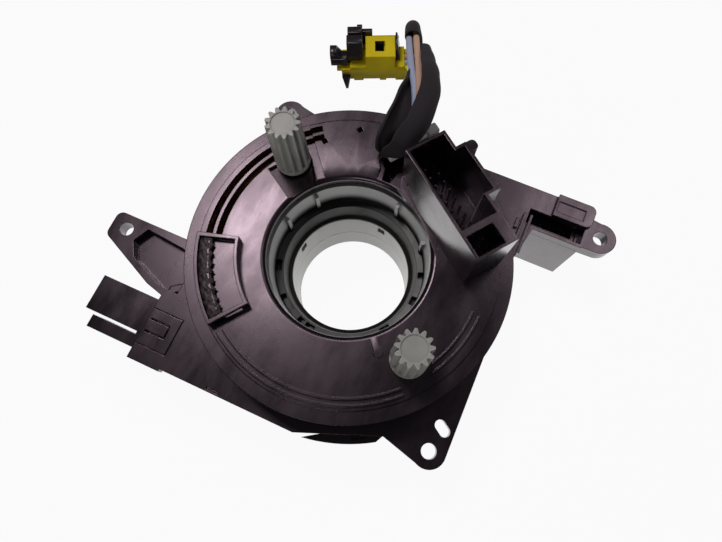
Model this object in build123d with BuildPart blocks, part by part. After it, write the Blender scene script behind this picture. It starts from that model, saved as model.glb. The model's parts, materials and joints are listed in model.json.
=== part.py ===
# Steering clock spring with a built-in steering angle sensor.
# Frame: the origin is on the steering axis at the back face, +Z points to the steering wheel,
# X and Y follow the straight edges of the fixed housing. Lengths are in millimetres.
from build123d import *
import os
from math import cos, pi, radians, sin, tan

# ---------------------------------------------------------------- driving dimensions

# Levels above the back face
rotor_face = 40.0            # top face of the rotor disc
back_thickness = 2.0         # back cover plate
deck_top = 25.2              # top of the fixed flange, where the column screws clamp
deck_thickness = 3.0
drum_floor = 14.0            # underside of the ribbon chamber's floor
drum_floor_thickness = 1.6
board_level = 3.6            # underside of the circuit board
board_thickness = 1.6
shelf_level = 7.0            # underside of the gear shelf
shelf_thickness = 1.4

# Clearances
fit_gap = 0.15               # between fixed mouldings that slot together
running_gap = 0.6            # between the rotor and the fixed case
journal_gap = 0.05           # radial clearance of the measuring gears' journals
pin_gap = 0.01               # radial play of pressed pins, caps and magnets

# Rotor
rotor_turn = 53.1            # angle of the rotor's own X axis from the housing's X axis
disc_radius = 44.0
disc_thickness = 2.2
skirt_wall = 1.6
skirt_height = 7.0
rim_band = 3.4               # the outer band of the face is one small step lower
rim_step = 0.5
collar_inset = 0.8           # from the hub sleeve's outside to the edge of the bore
collar_wall = 1.9
collar_depth = 7.5
collar_rounding = 3.6
slot_radii = (35.4, 38.1)    # two curved slots through the disc
slot_width = 1.7
slot_start = 72.0
slot_end = 142.0

# Drive ring of the angle sensor, a tube that lines the lower half of the bore
column_bore_radius = 17.55
column_bore_length = 9.6
drive_ring_bottom = 0.0      # flush with the back face
drive_ring_top = 20.6
drive_ring_wall = 1.75
ring_shoulder = 0.15         # the tube narrows by this much above the column bore
ring_groove_depth = 0.35
ring_groove_height = 0.5

# Hub sleeve, which lines the upper half of the bore and carries the ribbon's inner end
hub_bottom = 13.0
hub_guide_gap = 0.3          # around the drive ring and above it
hub_guide_wall = 1.6
hub_hollow = 1.1
hub_wall = 1.7
hub_lip_inset = 0.25         # the lip covers the drive ring's edge down to this much inside its bore
hub_lip_thickness = 0.8
hub_ledge_level = 27.0       # ledge halfway up the funnel
hub_ledge_reach = 1.75       # of the ledge's inner edge beyond the column bore
hub_ledge_width = 2.0
hub_mouth_wall = 2.1         # from the sleeve's outside to the bore at its upper edge
hub_spigot_height = 3.0
hub_key_count = 4
hub_key_angle = 24.0
hub_key_height = 2.2
hub_key_play = 0.5           # degrees at each side of a key

gear_module = 0.8
gear_level = 8.8             # underside of all the teeth
gear_height = 3.0
gear_backlash = 0.22
drive_teeth = 60
measuring_teeth = (20, 22)
measuring_angles = (210.0, 246.0)
journal_radius = 3.5
stub_radius = 1.5
stub_height = 2.4
magnet_radius = 2.5
magnet_thickness = 1.6

# Drive pegs on the rotor face
peg_distance = 31.9
peg_height = 19.3
post_radius = 3.1
post_height = 15.0
cap_tip_radius = 4.55
cap_base_radius = 4.95
cap_teeth = 13
cap_tooth_depth = 1.15
cap_flange_height = 1.2
cap_dish_radius = 3.1
cap_dish_depth = 0.4

# Ribbon cable
ribbon_half_turns = 13
ribbon_inner_gap = 2.3       # from the hub sleeve to the first turn
ribbon_outer_gap = 0.95      # from the last turn to the drum wall
ribbon_thickness = 0.35
ribbon_bottom = 16.4
ribbon_width = 15.6
slide_ring_thickness = 0.4
terminal_angle = 233.1       # where the ribbon's fixed end sits, in the housing's frame
terminal_half_angle = 7.0
terminal_height = 14.8
terminal_reach = 2.8         # of its foot beyond the drum
terminal_leads = 5
terminal_pitch = 1.6
terminal_row_inset = 1.0     # of the row of leads from the foot's outer edge

# Fixed drum around the ribbon
drum_wall = 1.6
drum_hole_gap = 1.6          # from the hub sleeve to the drum floor's edge

# Fixed housing outline
case_gap = 0.3               # between the drum and the lower case's wall
case_wall = 1.9
lobe_reach = 4.9             # of the outer lobe beyond the flange
box_left = -47.2
box_bottom = -48.0
box_corner_lip = 0.7
plate_right = 44.7
arm_end = 60.2
arm_far = 46.3
arm_near = 33.3
arm_rise = 1.4
roof_left = 48.5             # the arm's roof is raised from here to its end
roof_near = 39.4
ear_hole_radius = 2.1
ear_left = (-67.1, -15.5)
ear_right = (63.9, 38.4)
ear_top = (-38.9, 39.8)
ear_bottom = (40.0, -37.5)
ear_radius = 4.7
slot_hole = (41.2, -30.6)
slot_hole_radius = 1.5
slot_hole_length = 5.0
slot_hole_turn = -33.0
left_arm_thickness = 4.4

# Column connector
shroud_mouth = -65.7
shroud_low = -41.2
shroud_high = -30.6
shroud_bottom = 12.9
shroud_top = 24.9
shroud_wall = 1.2
insert_end = -37.5
insert_low = -44.0
insert_high = -33.3
insert_rise = 0.2
rail_end = -63.0
rail_low = -45.8
rail_high = -42.1
rail_bottom = 17.5
rail_top = 24.2
pin_size = 0.64
pin_pitch = 2.54

# Switch socket on the rotor
socket_height = 19.4
socket_wall = 0.8
socket_floor = 3.3
socket_overhang = 0.8        # of the socket's inner wall over the bore
socket_width = 11.1
socket_low = -22.0
socket_high = 10.3
divider_low = -15.7
divider_high = -13.9
side_bay_depth = 2.7
side_bay_low = -9.3
side_bay_high = 5.1
small_bay_width = 7.2
switch_pin_count = 8
switch_pin_inset = 5.57      # of the two rows' middle from the socket's inner wall
switch_pin_middle = -2.3
switch_pin_height = 11.3
side_pin_inset = 4.1
side_pin_ys = (-20.0, -17.4)
side_pin_height = 7.0

# Airbag lead, as points in the rotor's frame
sleeve_diameter = 6.6
wire_diameter = 1.7
end_sleeve_diameter = 4.6
lead_exit = (24.6, 16.9)
lead_hole_radius = 3.4
grommet_height = 1.6
grommet_tongue = (24.6, 38.2, 16.4, 20.6)
plug_centre = (37.3, 53.1)
plug_turn = -29.1            # angle of the plug's long axis in the rotor's frame
plug_length = 22.0
plug_depth = 7.4
plug_bottom = 29.0
plug_height = 12.2

# ---------------------------------------------------------------- derived values

disc_bottom = rotor_face - disc_thickness
rim_band_inner = disc_radius - rim_band
deck_bottom = deck_top - deck_thickness
case_top = deck_bottom - fit_gap
# rings from the bore outwards
drive_ring_outer = column_bore_radius + drive_ring_wall
hub_guide_bore = drive_ring_outer + hub_guide_gap
hub_radius = hub_guide_bore + hub_guide_wall + hub_hollow + hub_wall
hub_bore_top = hub_radius - hub_mouth_wall
hub_ledge_inner = column_bore_radius + hub_ledge_reach
hub_ledge_outer = hub_ledge_inner + hub_ledge_width
hub_lip_radius = column_bore_radius - hub_lip_inset
hub_lip_bottom = drive_ring_top + hub_guide_gap
collar_radius = hub_radius - collar_inset
drum_hole = hub_radius + drum_hole_gap
ribbon_first_radius = hub_radius + ribbon_inner_gap
# rings from the rotor's edge inwards, and the fixed case around them
skirt_inner = disc_radius - skirt_wall
drum_outer = skirt_inner - running_gap
drum_inner = drum_outer - drum_wall
drum_top = disc_bottom - running_gap
drum_inside = drum_floor + drum_floor_thickness
flange_radius = drum_outer + case_gap + case_wall
crescent_radius = flange_radius + lobe_reach
terminal_foot = drum_outer + terminal_reach
terminal_row = terminal_foot - terminal_row_inset
ribbon_last_radius = drum_inner - ribbon_outer_gap - ribbon_thickness
ribbon_pitch = 2 * (ribbon_last_radius - ribbon_first_radius) / (ribbon_half_turns - 1)
collar_outer = collar_radius + collar_wall
collar_bottom = rotor_face - collar_depth
hub_top = collar_bottom + hub_spigot_height
gear_top = gear_level + gear_height
drive_pitch_radius = gear_module * drive_teeth / 2
board_top = board_level + board_thickness
shelf_top = shelf_level + shelf_thickness
socket_left = collar_radius - socket_overhang
socket_right = socket_left + socket_width
side_bay_right = socket_right + side_bay_depth
small_bay_right = socket_left + socket_wall + small_bay_width
switch_pin_x = socket_left + switch_pin_inset
side_pin_x = socket_left + side_pin_inset
pin_field_low = switch_pin_middle - pin_pitch * (switch_pin_count - 1) / 2
pin_field_high = switch_pin_middle + pin_pitch * (switch_pin_count - 1) / 2
grommet_radius = lead_hole_radius + 1.0
pin_tip = rotor_face + switch_pin_height
arm_top = deck_top + arm_rise
pin_tail = 0.8               # how far the pins stand out below the board
terminal_bottom = drum_inside + slide_ring_thickness + 0.6
terminal_spots = []
for number in range(terminal_leads):
    spot_angle = terminal_angle + (number - (terminal_leads - 1) / 2) * terminal_pitch / terminal_row * 180 / pi
    terminal_spots.append((
        terminal_row * cos(radians(spot_angle)), terminal_row * sin(radians(spot_angle)),
    ))
switch_pin_spots = [
    (switch_pin_x + column * pin_pitch, pin_field_low + row * pin_pitch)
    for column in (-0.5, 0.5)
    for row in range(switch_pin_count)
]


# ---------------------------------------------------------------- helpers


def flat(height):
    """Level plane of the fixed housing."""
    return Plane.XY.offset(height)


def turned(height, x=0.0, y=0.0, turn=0.0):
    """Level plane of the rotor, at a point and a further turn in the rotor's frame."""
    angle = radians(rotor_turn)
    origin = (x * cos(angle) - y * sin(angle), x * sin(angle) + y * cos(angle), height)
    heading = radians(rotor_turn + turn)
    return Plane(origin=origin, x_dir=(cos(heading), sin(heading), 0), z_dir=(0, 0, 1))


def rotor_point(x, y, z):
    """Point in the part's frame for a place in the rotor's frame."""
    angle = radians(rotor_turn)
    return Vector(x * cos(angle) - y * sin(angle), x * sin(angle) + y * cos(angle), z)


def ring(level, outer, inner, height, mode=Mode.ADD):
    """Flat ring that rises from a level."""
    with BuildSketch(level) as profile:
        Circle(outer)
        Circle(inner, mode=Mode.SUBTRACT)
    extrude(profile.sketch, amount=height, mode=mode)


def disc(level, radius, height, at=(0, 0), mode=Mode.ADD):
    """Round pad, post or hole."""
    with BuildSketch(level) as profile:
        with Locations(at):
            Circle(radius)
    extrude(profile.sketch, amount=height, mode=mode)


def band(level, inner, outer, start, end, height, mode=Mode.ADD):
    """Stretch of a flat ring between two angles."""
    with BuildSketch(level) as profile:
        with BuildLine():
            far = CenterArc((0, 0), outer, start, end - start)
            near = CenterArc((0, 0), inner, start, end - start)
            Line(far @ 0, near @ 0)
            Line(far @ 1, near @ 1)
        make_face()
    extrude(profile.sketch, amount=height, mode=mode)


def block(level, x_low, x_high, y_low, y_high, height, mode=Mode.ADD):
    """Box between two corners of a level."""
    with BuildSketch(level) as profile:
        with Locations(((x_low + x_high) / 2, (y_low + y_high) / 2)):
            Rectangle(x_high - x_low, y_high - y_low)
    extrude(profile.sketch, amount=height, mode=mode)


def plate(level, points, height, mode=Mode.ADD, corner=0.0, rounded=()):
    """Flat piece with straight edges. rounded lists the numbers of the rounded corners."""
    with BuildSketch(level) as profile:
        with BuildLine():
            Polyline(*points, close=True)
        make_face()
        if rounded:
            places = [Vector(*points[number]) for number in rounded]
            corners = [
                vertex
                for vertex in profile.vertices()
                if min((Vector(*vertex) - place).length for place in places) < 0.01
            ]
            fillet(corners, radius=corner)
    extrude(profile.sketch, amount=height, mode=mode)


def square_pin(level, x, y, height, mode=Mode.ADD):
    """Square pin, or the hole that it stands in, at a point of a level."""
    half = pin_size / 2
    block(level, x - half, x + half, y - half, y + half, height, mode=mode)


def polar(radius, angle):
    """Point at a radius and an angle in degrees."""
    return (radius * cos(radians(angle)), radius * sin(radians(angle)))


def tooth_profile(teeth):
    """Closed outline of a spur gear with straight flanks."""
    pitch_radius = gear_module * teeth / 2
    tip = pitch_radius + 0.9 * gear_module
    root = pitch_radius - 1.25 * gear_module
    half = (pi * gear_module / 2 - gear_backlash) / 2
    half_tip = half - 0.9 * gear_module * tan(radians(20))
    half_root = half + 1.25 * gear_module * tan(radians(20)) * 0.6
    points = []
    for number in range(teeth):
        middle = 360 * number / teeth
        for radius, width in ((root, -half_root), (tip, -half_tip), (tip, half_tip), (root, half_root)):
            points.append(polar(radius, middle + width / radius * 180 / pi))
    return points


def tube_path(points, shares=0.45):
    """Straight runs joined by tangent arcs, as large as each pair of runs allows."""
    radii = []
    for before, here, after in zip(points, points[1:], points[2:]):
        first = here - before
        second = after - here
        turn = radians(first.get_angle(second))
        radii.append(shares * min(first.length, second.length) / tan(turn / 2))
    return FilletPolyline(*points, radius=radii), radii


parts = {}


def finish(piece, label):
    """Name a finished piece and keep it for export."""
    piece.part.label = label
    parts[label] = piece.part


# ---------------------------------------------------------------- fixed housing outlines

# Straight-edged regions that the lower case and the deck share
plate_notch = (27.4, -39.0)
box_region = [
    (-30.0, -14.0), (box_left, -25.5), (box_left, box_bottom), (4.6, box_bottom),
    plate_notch, (20.0, -20.0),
]
arm_region = [
    (8.0, 30.0), (8.0, 43.2), (22.0, arm_far), (arm_end - 0.6, arm_far), (arm_end - 0.6, arm_near),
    (plate_right, arm_near), (40.0, 10.0),
]

with BuildSketch() as case_profile:
    Circle(flange_radius)
    with BuildLine():
        Polyline(*box_region, close=True)
    make_face()
    with BuildLine():
        Polyline(*arm_region, close=True)
    make_face()
case_outline = case_profile.sketch

with BuildSketch() as case_inner_profile:
    add(case_outline)
    offset(amount=-case_wall, kind=Kind.INTERSECTION, mode=Mode.REPLACE)
case_inside = case_inner_profile.sketch

# ---------------------------------------------------------------- back cover

cover_hole = drive_ring_outer + running_gap
cover_lip = 1.2
cover_lip_height = 1.4
cover_collar_wall = 1.4
cover_collar_height = 2.4

with BuildPart() as back_cover:
    with BuildSketch(flat(0)):
        add(case_outline)
        Circle(cover_hole, mode=Mode.SUBTRACT)
    extrude(amount=back_thickness)
    # locating lip just inside the case wall
    with BuildSketch(flat(back_thickness)):
        add(case_inside)
        offset(amount=-fit_gap, kind=Kind.INTERSECTION, mode=Mode.REPLACE)
        offset(amount=-cover_lip, kind=Kind.INTERSECTION, mode=Mode.SUBTRACT)
    extrude(amount=cover_lip_height)
    # collar around the drive ring
    ring(flat(back_thickness), cover_hole + cover_collar_wall, cover_hole, cover_collar_height)
finish(back_cover, "back_cover")

# ---------------------------------------------------------------- gear positions

measuring_radii = [gear_module * teeth / 2 for teeth in measuring_teeth]
measuring_centres = [
    polar(drive_pitch_radius + radius, angle)
    for radius, angle in zip(measuring_radii, measuring_angles)
]

# ---------------------------------------------------------------- lower case

case_bottom = back_thickness
shelf_region = [(-39.5, -8.0), (-39.5, -31.5), (-27.0, -44.0), (2.0, -44.0), (2.0, -20.0), (-16.0, 2.0)]
shelf_clearance = 2.4        # from the pitch circle of the drive gear to the shelf's edge
lobe_thickness = 2.4
lobe_drop = 3.2              # from the case's upper edge to the lobe's underside
lobe_tip_angle = -82.0
lobe_end_angle = -57.5
lobe_window_angles = (-65.5, -60.5)
lobe_window_inset = 1.3      # from the lobe's outer edge
lobe_window_width = 1.7
lobe_window_depth = 1.2
clip_slit = (-22.5, -18.5)
clip_slit_inset = 0.6        # of the slit from the box's lower edge
clip_slit_width = 0.6
clip_gap = 0.1

with BuildPart() as sensor_case:
    with BuildSketch(flat(case_bottom)):
        add(case_outline)
        add(case_inside, mode=Mode.SUBTRACT)
    extrude(amount=case_top - case_bottom)
    # shelf that carries the two measuring gears
    with BuildSketch(flat(shelf_level)):
        with BuildLine():
            Polyline(*shelf_region, close=True)
        make_face()
        add(case_outline, mode=Mode.INTERSECT)
        Circle(drive_pitch_radius + shelf_clearance, mode=Mode.SUBTRACT)
        with Locations(*measuring_centres):
            Circle(journal_radius + journal_gap, mode=Mode.SUBTRACT)
    extrude(amount=shelf_thickness)
    # ledge of the shelf that runs out to the case wall
    block(flat(shelf_level), box_left + 0.5, -39.0, -31.5, -27.0, shelf_thickness)
    block(flat(shelf_level), -26.0, 0.0, box_bottom + 0.5, -43.5, shelf_thickness)
    # way through the shelf for the connector's pins
    block(flat(shelf_level - 1.0), -38.5, -31.0, -39.0, -33.2, shelf_thickness + 2.0, mode=Mode.SUBTRACT)
    for x, y in terminal_spots:
        disc(flat(shelf_level - 1.0), terminal_pitch / 2 - 0.1, shelf_thickness + 2.0, at=(x, y), mode=Mode.SUBTRACT)
    # tongue that clips through the slit in the deck
    block(
        flat(case_top - 0.5), clip_slit[0] + clip_gap, clip_slit[1] - clip_gap,
        box_bottom + clip_slit_inset + clip_gap, box_bottom + clip_slit_inset + clip_slit_width - clip_gap,
        deck_thickness + 0.3,
    )
    # low outer lobe under the rotor's edge, pointed at one end, with a blind clip window
    with BuildSketch(flat(case_top - lobe_drop)):
        with BuildLine():
            lobe = CenterArc((0, 0), crescent_radius, lobe_tip_angle, lobe_end_angle - lobe_tip_angle)
            inner = Polyline(lobe @ 0, (15.5, -42.6), (16.0, -36.0), (22.0, -36.0), plate_notch)
            Line(inner @ 1, lobe @ 1)
        make_face()
        Circle(flange_radius - 0.5, mode=Mode.SUBTRACT)
    extrude(amount=lobe_thickness)
    band(
        flat(case_top - lobe_drop + lobe_thickness - lobe_window_depth),
        crescent_radius - lobe_window_inset - lobe_window_width, crescent_radius - lobe_window_inset,
        *lobe_window_angles, lobe_window_depth + 1.0, mode=Mode.SUBTRACT,
    )
    # window for the column connector
    block(
        flat(shroud_bottom - fit_gap),
        box_left - 1.0,
        box_left + case_wall + 0.2,
        insert_low - fit_gap,
        insert_high + fit_gap,
        case_top - shroud_bottom + 1.0,
        mode=Mode.SUBTRACT,
    )
finish(sensor_case, "sensor_case")

# ---------------------------------------------------------------- drum case and deck

ridge_xs = (40.7, 42.6)
ridge_width = 0.8
left_arm = [
    (-40.0, -11.1), (-72.2, -11.1), (-72.2, -19.2), (-52.8, -27.8), (box_left, -29.2), (-40.0, -29.2),
]
left_pocket = [(-61.0, -13.0), (-43.0, -14.6), (-43.0, -27.0), (-49.0, -26.9), (-60.6, -22.2), (-63.4, -17.8)]
left_pocket_depth = 3.0
right_pocket = (42.1, 59.0, 34.4, 39.4)
tub_depth = 11.0
tub_wall = 1.0
tub_x_high = arm_end - 0.6 - case_wall - fit_gap
tub_y_low = arm_near + case_wall + fit_gap
label_recess = (49.1, 57.4, 40.9, 44.4)
label_recess_depth = 0.4

with BuildPart() as drum_case:
    # deck
    with BuildSketch(flat(deck_bottom)):
        add(case_outline)
    extrude(amount=deck_thickness)
    # thin triangular plate with the lower screw hole and the locating slot
    plate(
        flat(deck_bottom),
        [(20.0, 10.0), (plate_right, 10.0), (plate_right, ear_bottom[1]), (37.9, -41.7), plate_notch, (10.0, -30.0)],
        deck_thickness,
    )
    disc(flat(deck_bottom), plate_right - ear_bottom[0], deck_thickness, at=ear_bottom)
    # lip at the lower left corner
    block(
        flat(deck_bottom), box_left, insert_end + 0.5, box_bottom - box_corner_lip, box_bottom + 1.0,
        deck_thickness,
    )
    # left arm, pocketed from above
    plate(flat(deck_top - left_arm_thickness), left_arm, left_arm_thickness, corner=2.2, rounded=(1, 2))
    plate(
        flat(deck_top - left_pocket_depth), left_pocket, left_pocket_depth + 1, mode=Mode.SUBTRACT,
        corner=1.2, rounded=(3, 4, 5),
    )
    # upper ear
    plate(
        flat(deck_bottom - 1.0),
        [(-43.4, 38.6), (-36.4, 43.8), (-28.0, 42.0), (-29.0, 31.0), (-38.5, 33.0)],
        deck_thickness + 1.0,
    )
    disc(flat(deck_bottom - 1.0), ear_radius, deck_thickness + 1.0, at=ear_top)
    # right ear
    plate(
        flat(deck_top - 4.4),
        [(52.0, arm_near), (63.6, 33.7), (66.0, 42.6), (52.0, 44.5)],
        4.4,
    )
    disc(flat(deck_top - 4.4), ear_radius, 4.4, at=ear_right)
    # everything thicker than the deck stays outside the lower case
    with BuildSketch(flat(deck_bottom - 4.0)):
        add(case_outline)
        offset(amount=fit_gap)
    extrude(amount=4.0, mode=Mode.SUBTRACT)
    # raised roof of the right arm
    plate(
        flat(deck_bottom),
        [(roof_left, roof_near), (roof_left, arm_far + 0.3), (arm_end, arm_far + 0.3), (arm_end, roof_near)],
        deck_thickness + arm_rise,
        corner=2.0,
        rounded=(2, 3),
    )
    block(flat(arm_top - label_recess_depth), *label_recess, 1.0, mode=Mode.SUBTRACT)
    # drum wall and floor
    ring(flat(drum_floor), drum_outer, drum_inner, drum_top - drum_floor)
    disc(flat(drum_inside), drum_inner, drum_top - drum_inside + 1.0, mode=Mode.SUBTRACT)
    ring(flat(drum_floor), drum_outer, drum_hole, drum_floor_thickness)
    # bosses under the floor for the measuring gears' upper stubs
    for centre in measuring_centres:
        disc(flat(gear_top + 0.4), stub_radius + 1.6, drum_floor - gear_top - 0.2, at=centre)
    for centre in measuring_centres:
        disc(
            flat(gear_top), stub_radius + journal_gap, stub_height + 0.4, at=centre, mode=Mode.SUBTRACT
        )
    # deep pocket of the right arm: an opening in the deck with a tub below it
    block(
        flat(deck_top - tub_depth), right_pocket[0] - tub_wall, tub_x_high, tub_y_low,
        right_pocket[3] + tub_wall, tub_depth - 1.0,
    )
    block(flat(deck_bottom - 0.5), *right_pocket, deck_thickness + 4.0, mode=Mode.SUBTRACT)
    block(
        flat(deck_top - tub_depth + tub_wall), right_pocket[0], tub_x_high - tub_wall,
        tub_y_low + tub_wall, right_pocket[3], tub_depth, mode=Mode.SUBTRACT,
    )
    # short ridges beside the rotor and a low clip
    for x in ridge_xs:
        block(flat(deck_top - 0.2), x, x + ridge_width, 24.0, 37.0, 1.4)
    block(flat(deck_top - 0.2), 39.2, 40.2, 31.5, 34.8, 1.0)
    # screw holes
    for centre in (ear_left, ear_right, ear_top, ear_bottom):
        disc(flat(deck_bottom - 3.0), ear_hole_radius, 8.0, at=centre, mode=Mode.SUBTRACT)
    with BuildSketch(flat(deck_bottom - 1.0)):
        with Locations(slot_hole):
            SlotOverall(slot_hole_length, 2 * slot_hole_radius, rotation=slot_hole_turn)
    extrude(amount=deck_thickness + 2.0, mode=Mode.SUBTRACT)
    # window in the drum wall for the ribbon's fixed terminal
    window_angle = terminal_half_angle + 0.2
    band(
        flat(terminal_bottom - fit_gap), drum_inner - 1.0, drum_outer, terminal_angle - window_angle,
        terminal_angle + window_angle, terminal_height + 2 * fit_gap, mode=Mode.SUBTRACT,
    )
    # notch for the column connector
    block(
        flat(deck_bottom - 1.0), box_left - 1.0, insert_end + fit_gap, insert_low - fit_gap,
        insert_high + fit_gap, deck_thickness + 2.0, mode=Mode.SUBTRACT,
    )
    # narrow slit of the clip at the lower edge
    block(
        flat(deck_bottom - 1.0), *clip_slit, box_bottom + clip_slit_inset,
        box_bottom + clip_slit_inset + clip_slit_width, deck_thickness + 2.0, mode=Mode.SUBTRACT,
    )
finish(drum_case, "drum_case")

# ---------------------------------------------------------------- column connector

pin_rows = 3
pin_row_low = (shroud_bottom + shroud_top) / 2 - pin_pitch
pin_columns = (-37.3, -34.76)
pin_tip_x = shroud_mouth + 4.0
pin_bend_x = insert_end + 1.2

with BuildPart() as column_connector:
    block(
        flat(shroud_bottom), shroud_mouth, box_left, shroud_low, shroud_high, shroud_top - shroud_bottom
    )
    block(
        flat(shroud_bottom), box_left, insert_end, insert_low, insert_high,
        deck_top + insert_rise - shroud_bottom,
    )
    # mouth of the shroud
    block(
        flat(shroud_bottom + shroud_wall), shroud_mouth - 1.0, box_left - 2.0, shroud_low + shroud_wall,
        shroud_high - shroud_wall, shroud_top - shroud_bottom - 2 * shroud_wall, mode=Mode.SUBTRACT,
    )
    # guide rail beside the shroud, carried by the insert
    block(flat(rail_bottom), rail_end, box_left, rail_low, rail_high, rail_top - rail_bottom)
    block(flat(rail_bottom), box_left - 1.5, box_left, rail_low, shroud_low + 0.5, rail_top - rail_bottom)
    # snap tongue, freed on three sides
    tongue = (-46.3, -40.3, -39.8, -36.6)
    groove = 0.45
    groove_depth = 1.6
    for low, high in ((tongue[2] - groove, tongue[2]), (tongue[3], tongue[3] + groove)):
        block(
            flat(deck_top + insert_rise - groove_depth), tongue[0], tongue[1] + groove, low, high, 4.0,
            mode=Mode.SUBTRACT,
        )
    block(
        flat(deck_top + insert_rise - groove_depth), tongue[1], tongue[1] + groove, tongue[2], tongue[3],
        4.0, mode=Mode.SUBTRACT,
    )
    # holes that the pins stand in
    for row in range(pin_rows):
        for y in pin_columns:
            z = pin_row_low + row * pin_pitch
            block(
                flat(z - pin_size / 2), box_left - 3.0, insert_end + 1.0, y - pin_size / 2,
                y + pin_size / 2, pin_size, mode=Mode.SUBTRACT,
            )
finish(column_connector, "column_connector")

with BuildPart() as column_pins:
    for row in range(pin_rows):
        z = pin_row_low + row * pin_pitch
        leg_x = pin_bend_x + row * 2 * pin_size
        for y in pin_columns:
            block(
                flat(z - pin_size / 2), pin_tip_x, leg_x + pin_size, y - pin_size / 2, y + pin_size / 2,
                pin_size,
            )
            block(
                flat(board_level - pin_tail), leg_x, leg_x + pin_size, y - pin_size / 2, y + pin_size / 2,
                z - board_level + pin_tail,
            )
finish(column_pins, "column_pins")

# ---------------------------------------------------------------- circuit board

board_region = [(-44.6, -24.0), (-44.6, -45.0), (4.0, -45.0), (4.0, -26.0), (-12.0, -8.0), (-33.0, -8.0)]
board_clear_radius = drive_ring_outer + 4.2

with BuildPart() as circuit_board:
    with BuildSketch(flat(board_level)):
        with BuildLine():
            Polyline(*board_region, close=True)
        make_face()
        add(case_inside, mode=Mode.INTERSECT)
        offset(amount=-0.3, kind=Kind.INTERSECTION, mode=Mode.REPLACE)
        Circle(board_clear_radius, mode=Mode.SUBTRACT)
    extrude(amount=board_thickness)
    for row in range(pin_rows):
        for y in pin_columns:
            x = pin_bend_x + row * 2 * pin_size + pin_size / 2
            disc(flat(board_level - 1), pin_size * 0.8, board_thickness + 2, at=(x, y), mode=Mode.SUBTRACT)
    for x, y in terminal_spots:
        disc(flat(board_level - 1), pin_size * 0.8, board_thickness + 2, at=(x, y), mode=Mode.SUBTRACT)
finish(circuit_board, "circuit_board")

chip_size = (4.4, 5.0)
chip_height = 0.9

with BuildPart() as angle_chips:
    for centre in measuring_centres:
        block(
            flat(board_top), centre[0] - chip_size[0] / 2, centre[0] + chip_size[0] / 2,
            centre[1] - chip_size[1] / 2, centre[1] + chip_size[1] / 2, chip_height,
        )
finish(angle_chips, "angle_chips")

with BuildPart() as controller_chip:
    block(flat(board_top), -14.0, -7.0, -43.2, -36.2, 1.2)
finish(controller_chip, "controller_chip")

# ---------------------------------------------------------------- measuring gears

hub_drop = 1.9


def mesh_turn(teeth, angle):
    """Turn of a measuring gear that puts a tooth gap where a drive tooth points at it."""
    step = 360 / teeth
    drive_step = 360 / drive_teeth
    drive_offset = (angle - round(angle / drive_step) * drive_step) / drive_step
    return angle + 180 + step * (0.5 + drive_offset)


for name, teeth, centre, angle in zip("ab", measuring_teeth, measuring_centres, measuring_angles):
    with BuildPart() as gear:
        with BuildSketch(Plane(origin=(*centre, gear_level)), mode=Mode.PRIVATE) as profile:
            with BuildLine():
                Polyline(*tooth_profile(teeth), close=True)
            make_face()
        turn = mesh_turn(teeth, angle)
        extrude(profile.sketch.rotate(Axis(origin=(*centre, 0), direction=(0, 0, 1)), turn), amount=gear_height)
        disc(flat(gear_level - hub_drop - 0.6), journal_radius, hub_drop + 0.6, at=centre)
        disc(flat(gear_top), stub_radius, stub_height, at=centre)
        disc(
            flat(gear_level - hub_drop - 0.6), magnet_radius + pin_gap, magnet_thickness, at=centre,
            mode=Mode.SUBTRACT,
        )
    finish(gear, "measuring_gear_" + name)
    with BuildPart() as magnet:
        disc(flat(gear_level - hub_drop - 0.6), magnet_radius, magnet_thickness, at=centre)
    finish(magnet, "gear_magnet_" + name)

# ---------------------------------------------------------------- drive ring

ring_windows = ((28.0, 8.0), (118.0, 8.0))   # middle and width in degrees, in the rotor's frame
ring_window_height = 3.2
ring_window_drop = 1.2       # from the tube's upper edge

with BuildPart() as drive_ring:
    # foot that centres on the steering column, and the slightly narrower tube above it
    ring(flat(drive_ring_bottom), drive_ring_outer, column_bore_radius, column_bore_length)
    ring(
        flat(drive_ring_bottom + column_bore_length), drive_ring_outer, column_bore_radius - ring_shoulder,
        drive_ring_top - drive_ring_bottom - column_bore_length,
    )
    ring(
        flat(drive_ring_bottom + column_bore_length), column_bore_radius + ring_groove_depth,
        column_bore_radius - 1.0, ring_groove_height, mode=Mode.SUBTRACT,
    )
    # windows below the upper edge
    for middle, width in ring_windows:
        band(
            turned(drive_ring_top - ring_window_drop - ring_window_height), column_bore_radius - 1.0,
            drive_ring_outer + 1.0, middle - width / 2, middle + width / 2, ring_window_height,
            mode=Mode.SUBTRACT,
        )
    # gear rim
    with BuildSketch(flat(gear_level)):
        with BuildLine():
            Polyline(*tooth_profile(drive_teeth), close=True)
        make_face()
        Circle(drive_ring_outer - 0.2, mode=Mode.SUBTRACT)
    extrude(amount=gear_height)
    # keys that the hub sleeve drives
    for number in range(hub_key_count):
        middle = 45 + 360 / hub_key_count * number
        band(
            turned(hub_bottom - 0.4), drive_ring_outer - 0.4, hub_guide_bore + hub_guide_wall - 0.2,
            middle - hub_key_angle / 2, middle + hub_key_angle / 2, hub_key_height,
        )
finish(drive_ring, "drive_ring")

# ---------------------------------------------------------------- hub sleeve

hub_rib_angles = (87.0, 116.0, 20.0, 344.0)
hub_rib_width = 1.1
hub_rib_depth = 0.7
hub_ledge_windows = (
    (148.0, 9.0), (180.5, 15.0), (199.0, 5.0), (208.0, 8.0), (270.0, 8.0), (302.0, 7.0), (324.0, 5.0),
)
hub_ledge_window_depth = 2.4
hub_ledge_window_inset = 0.5

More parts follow.
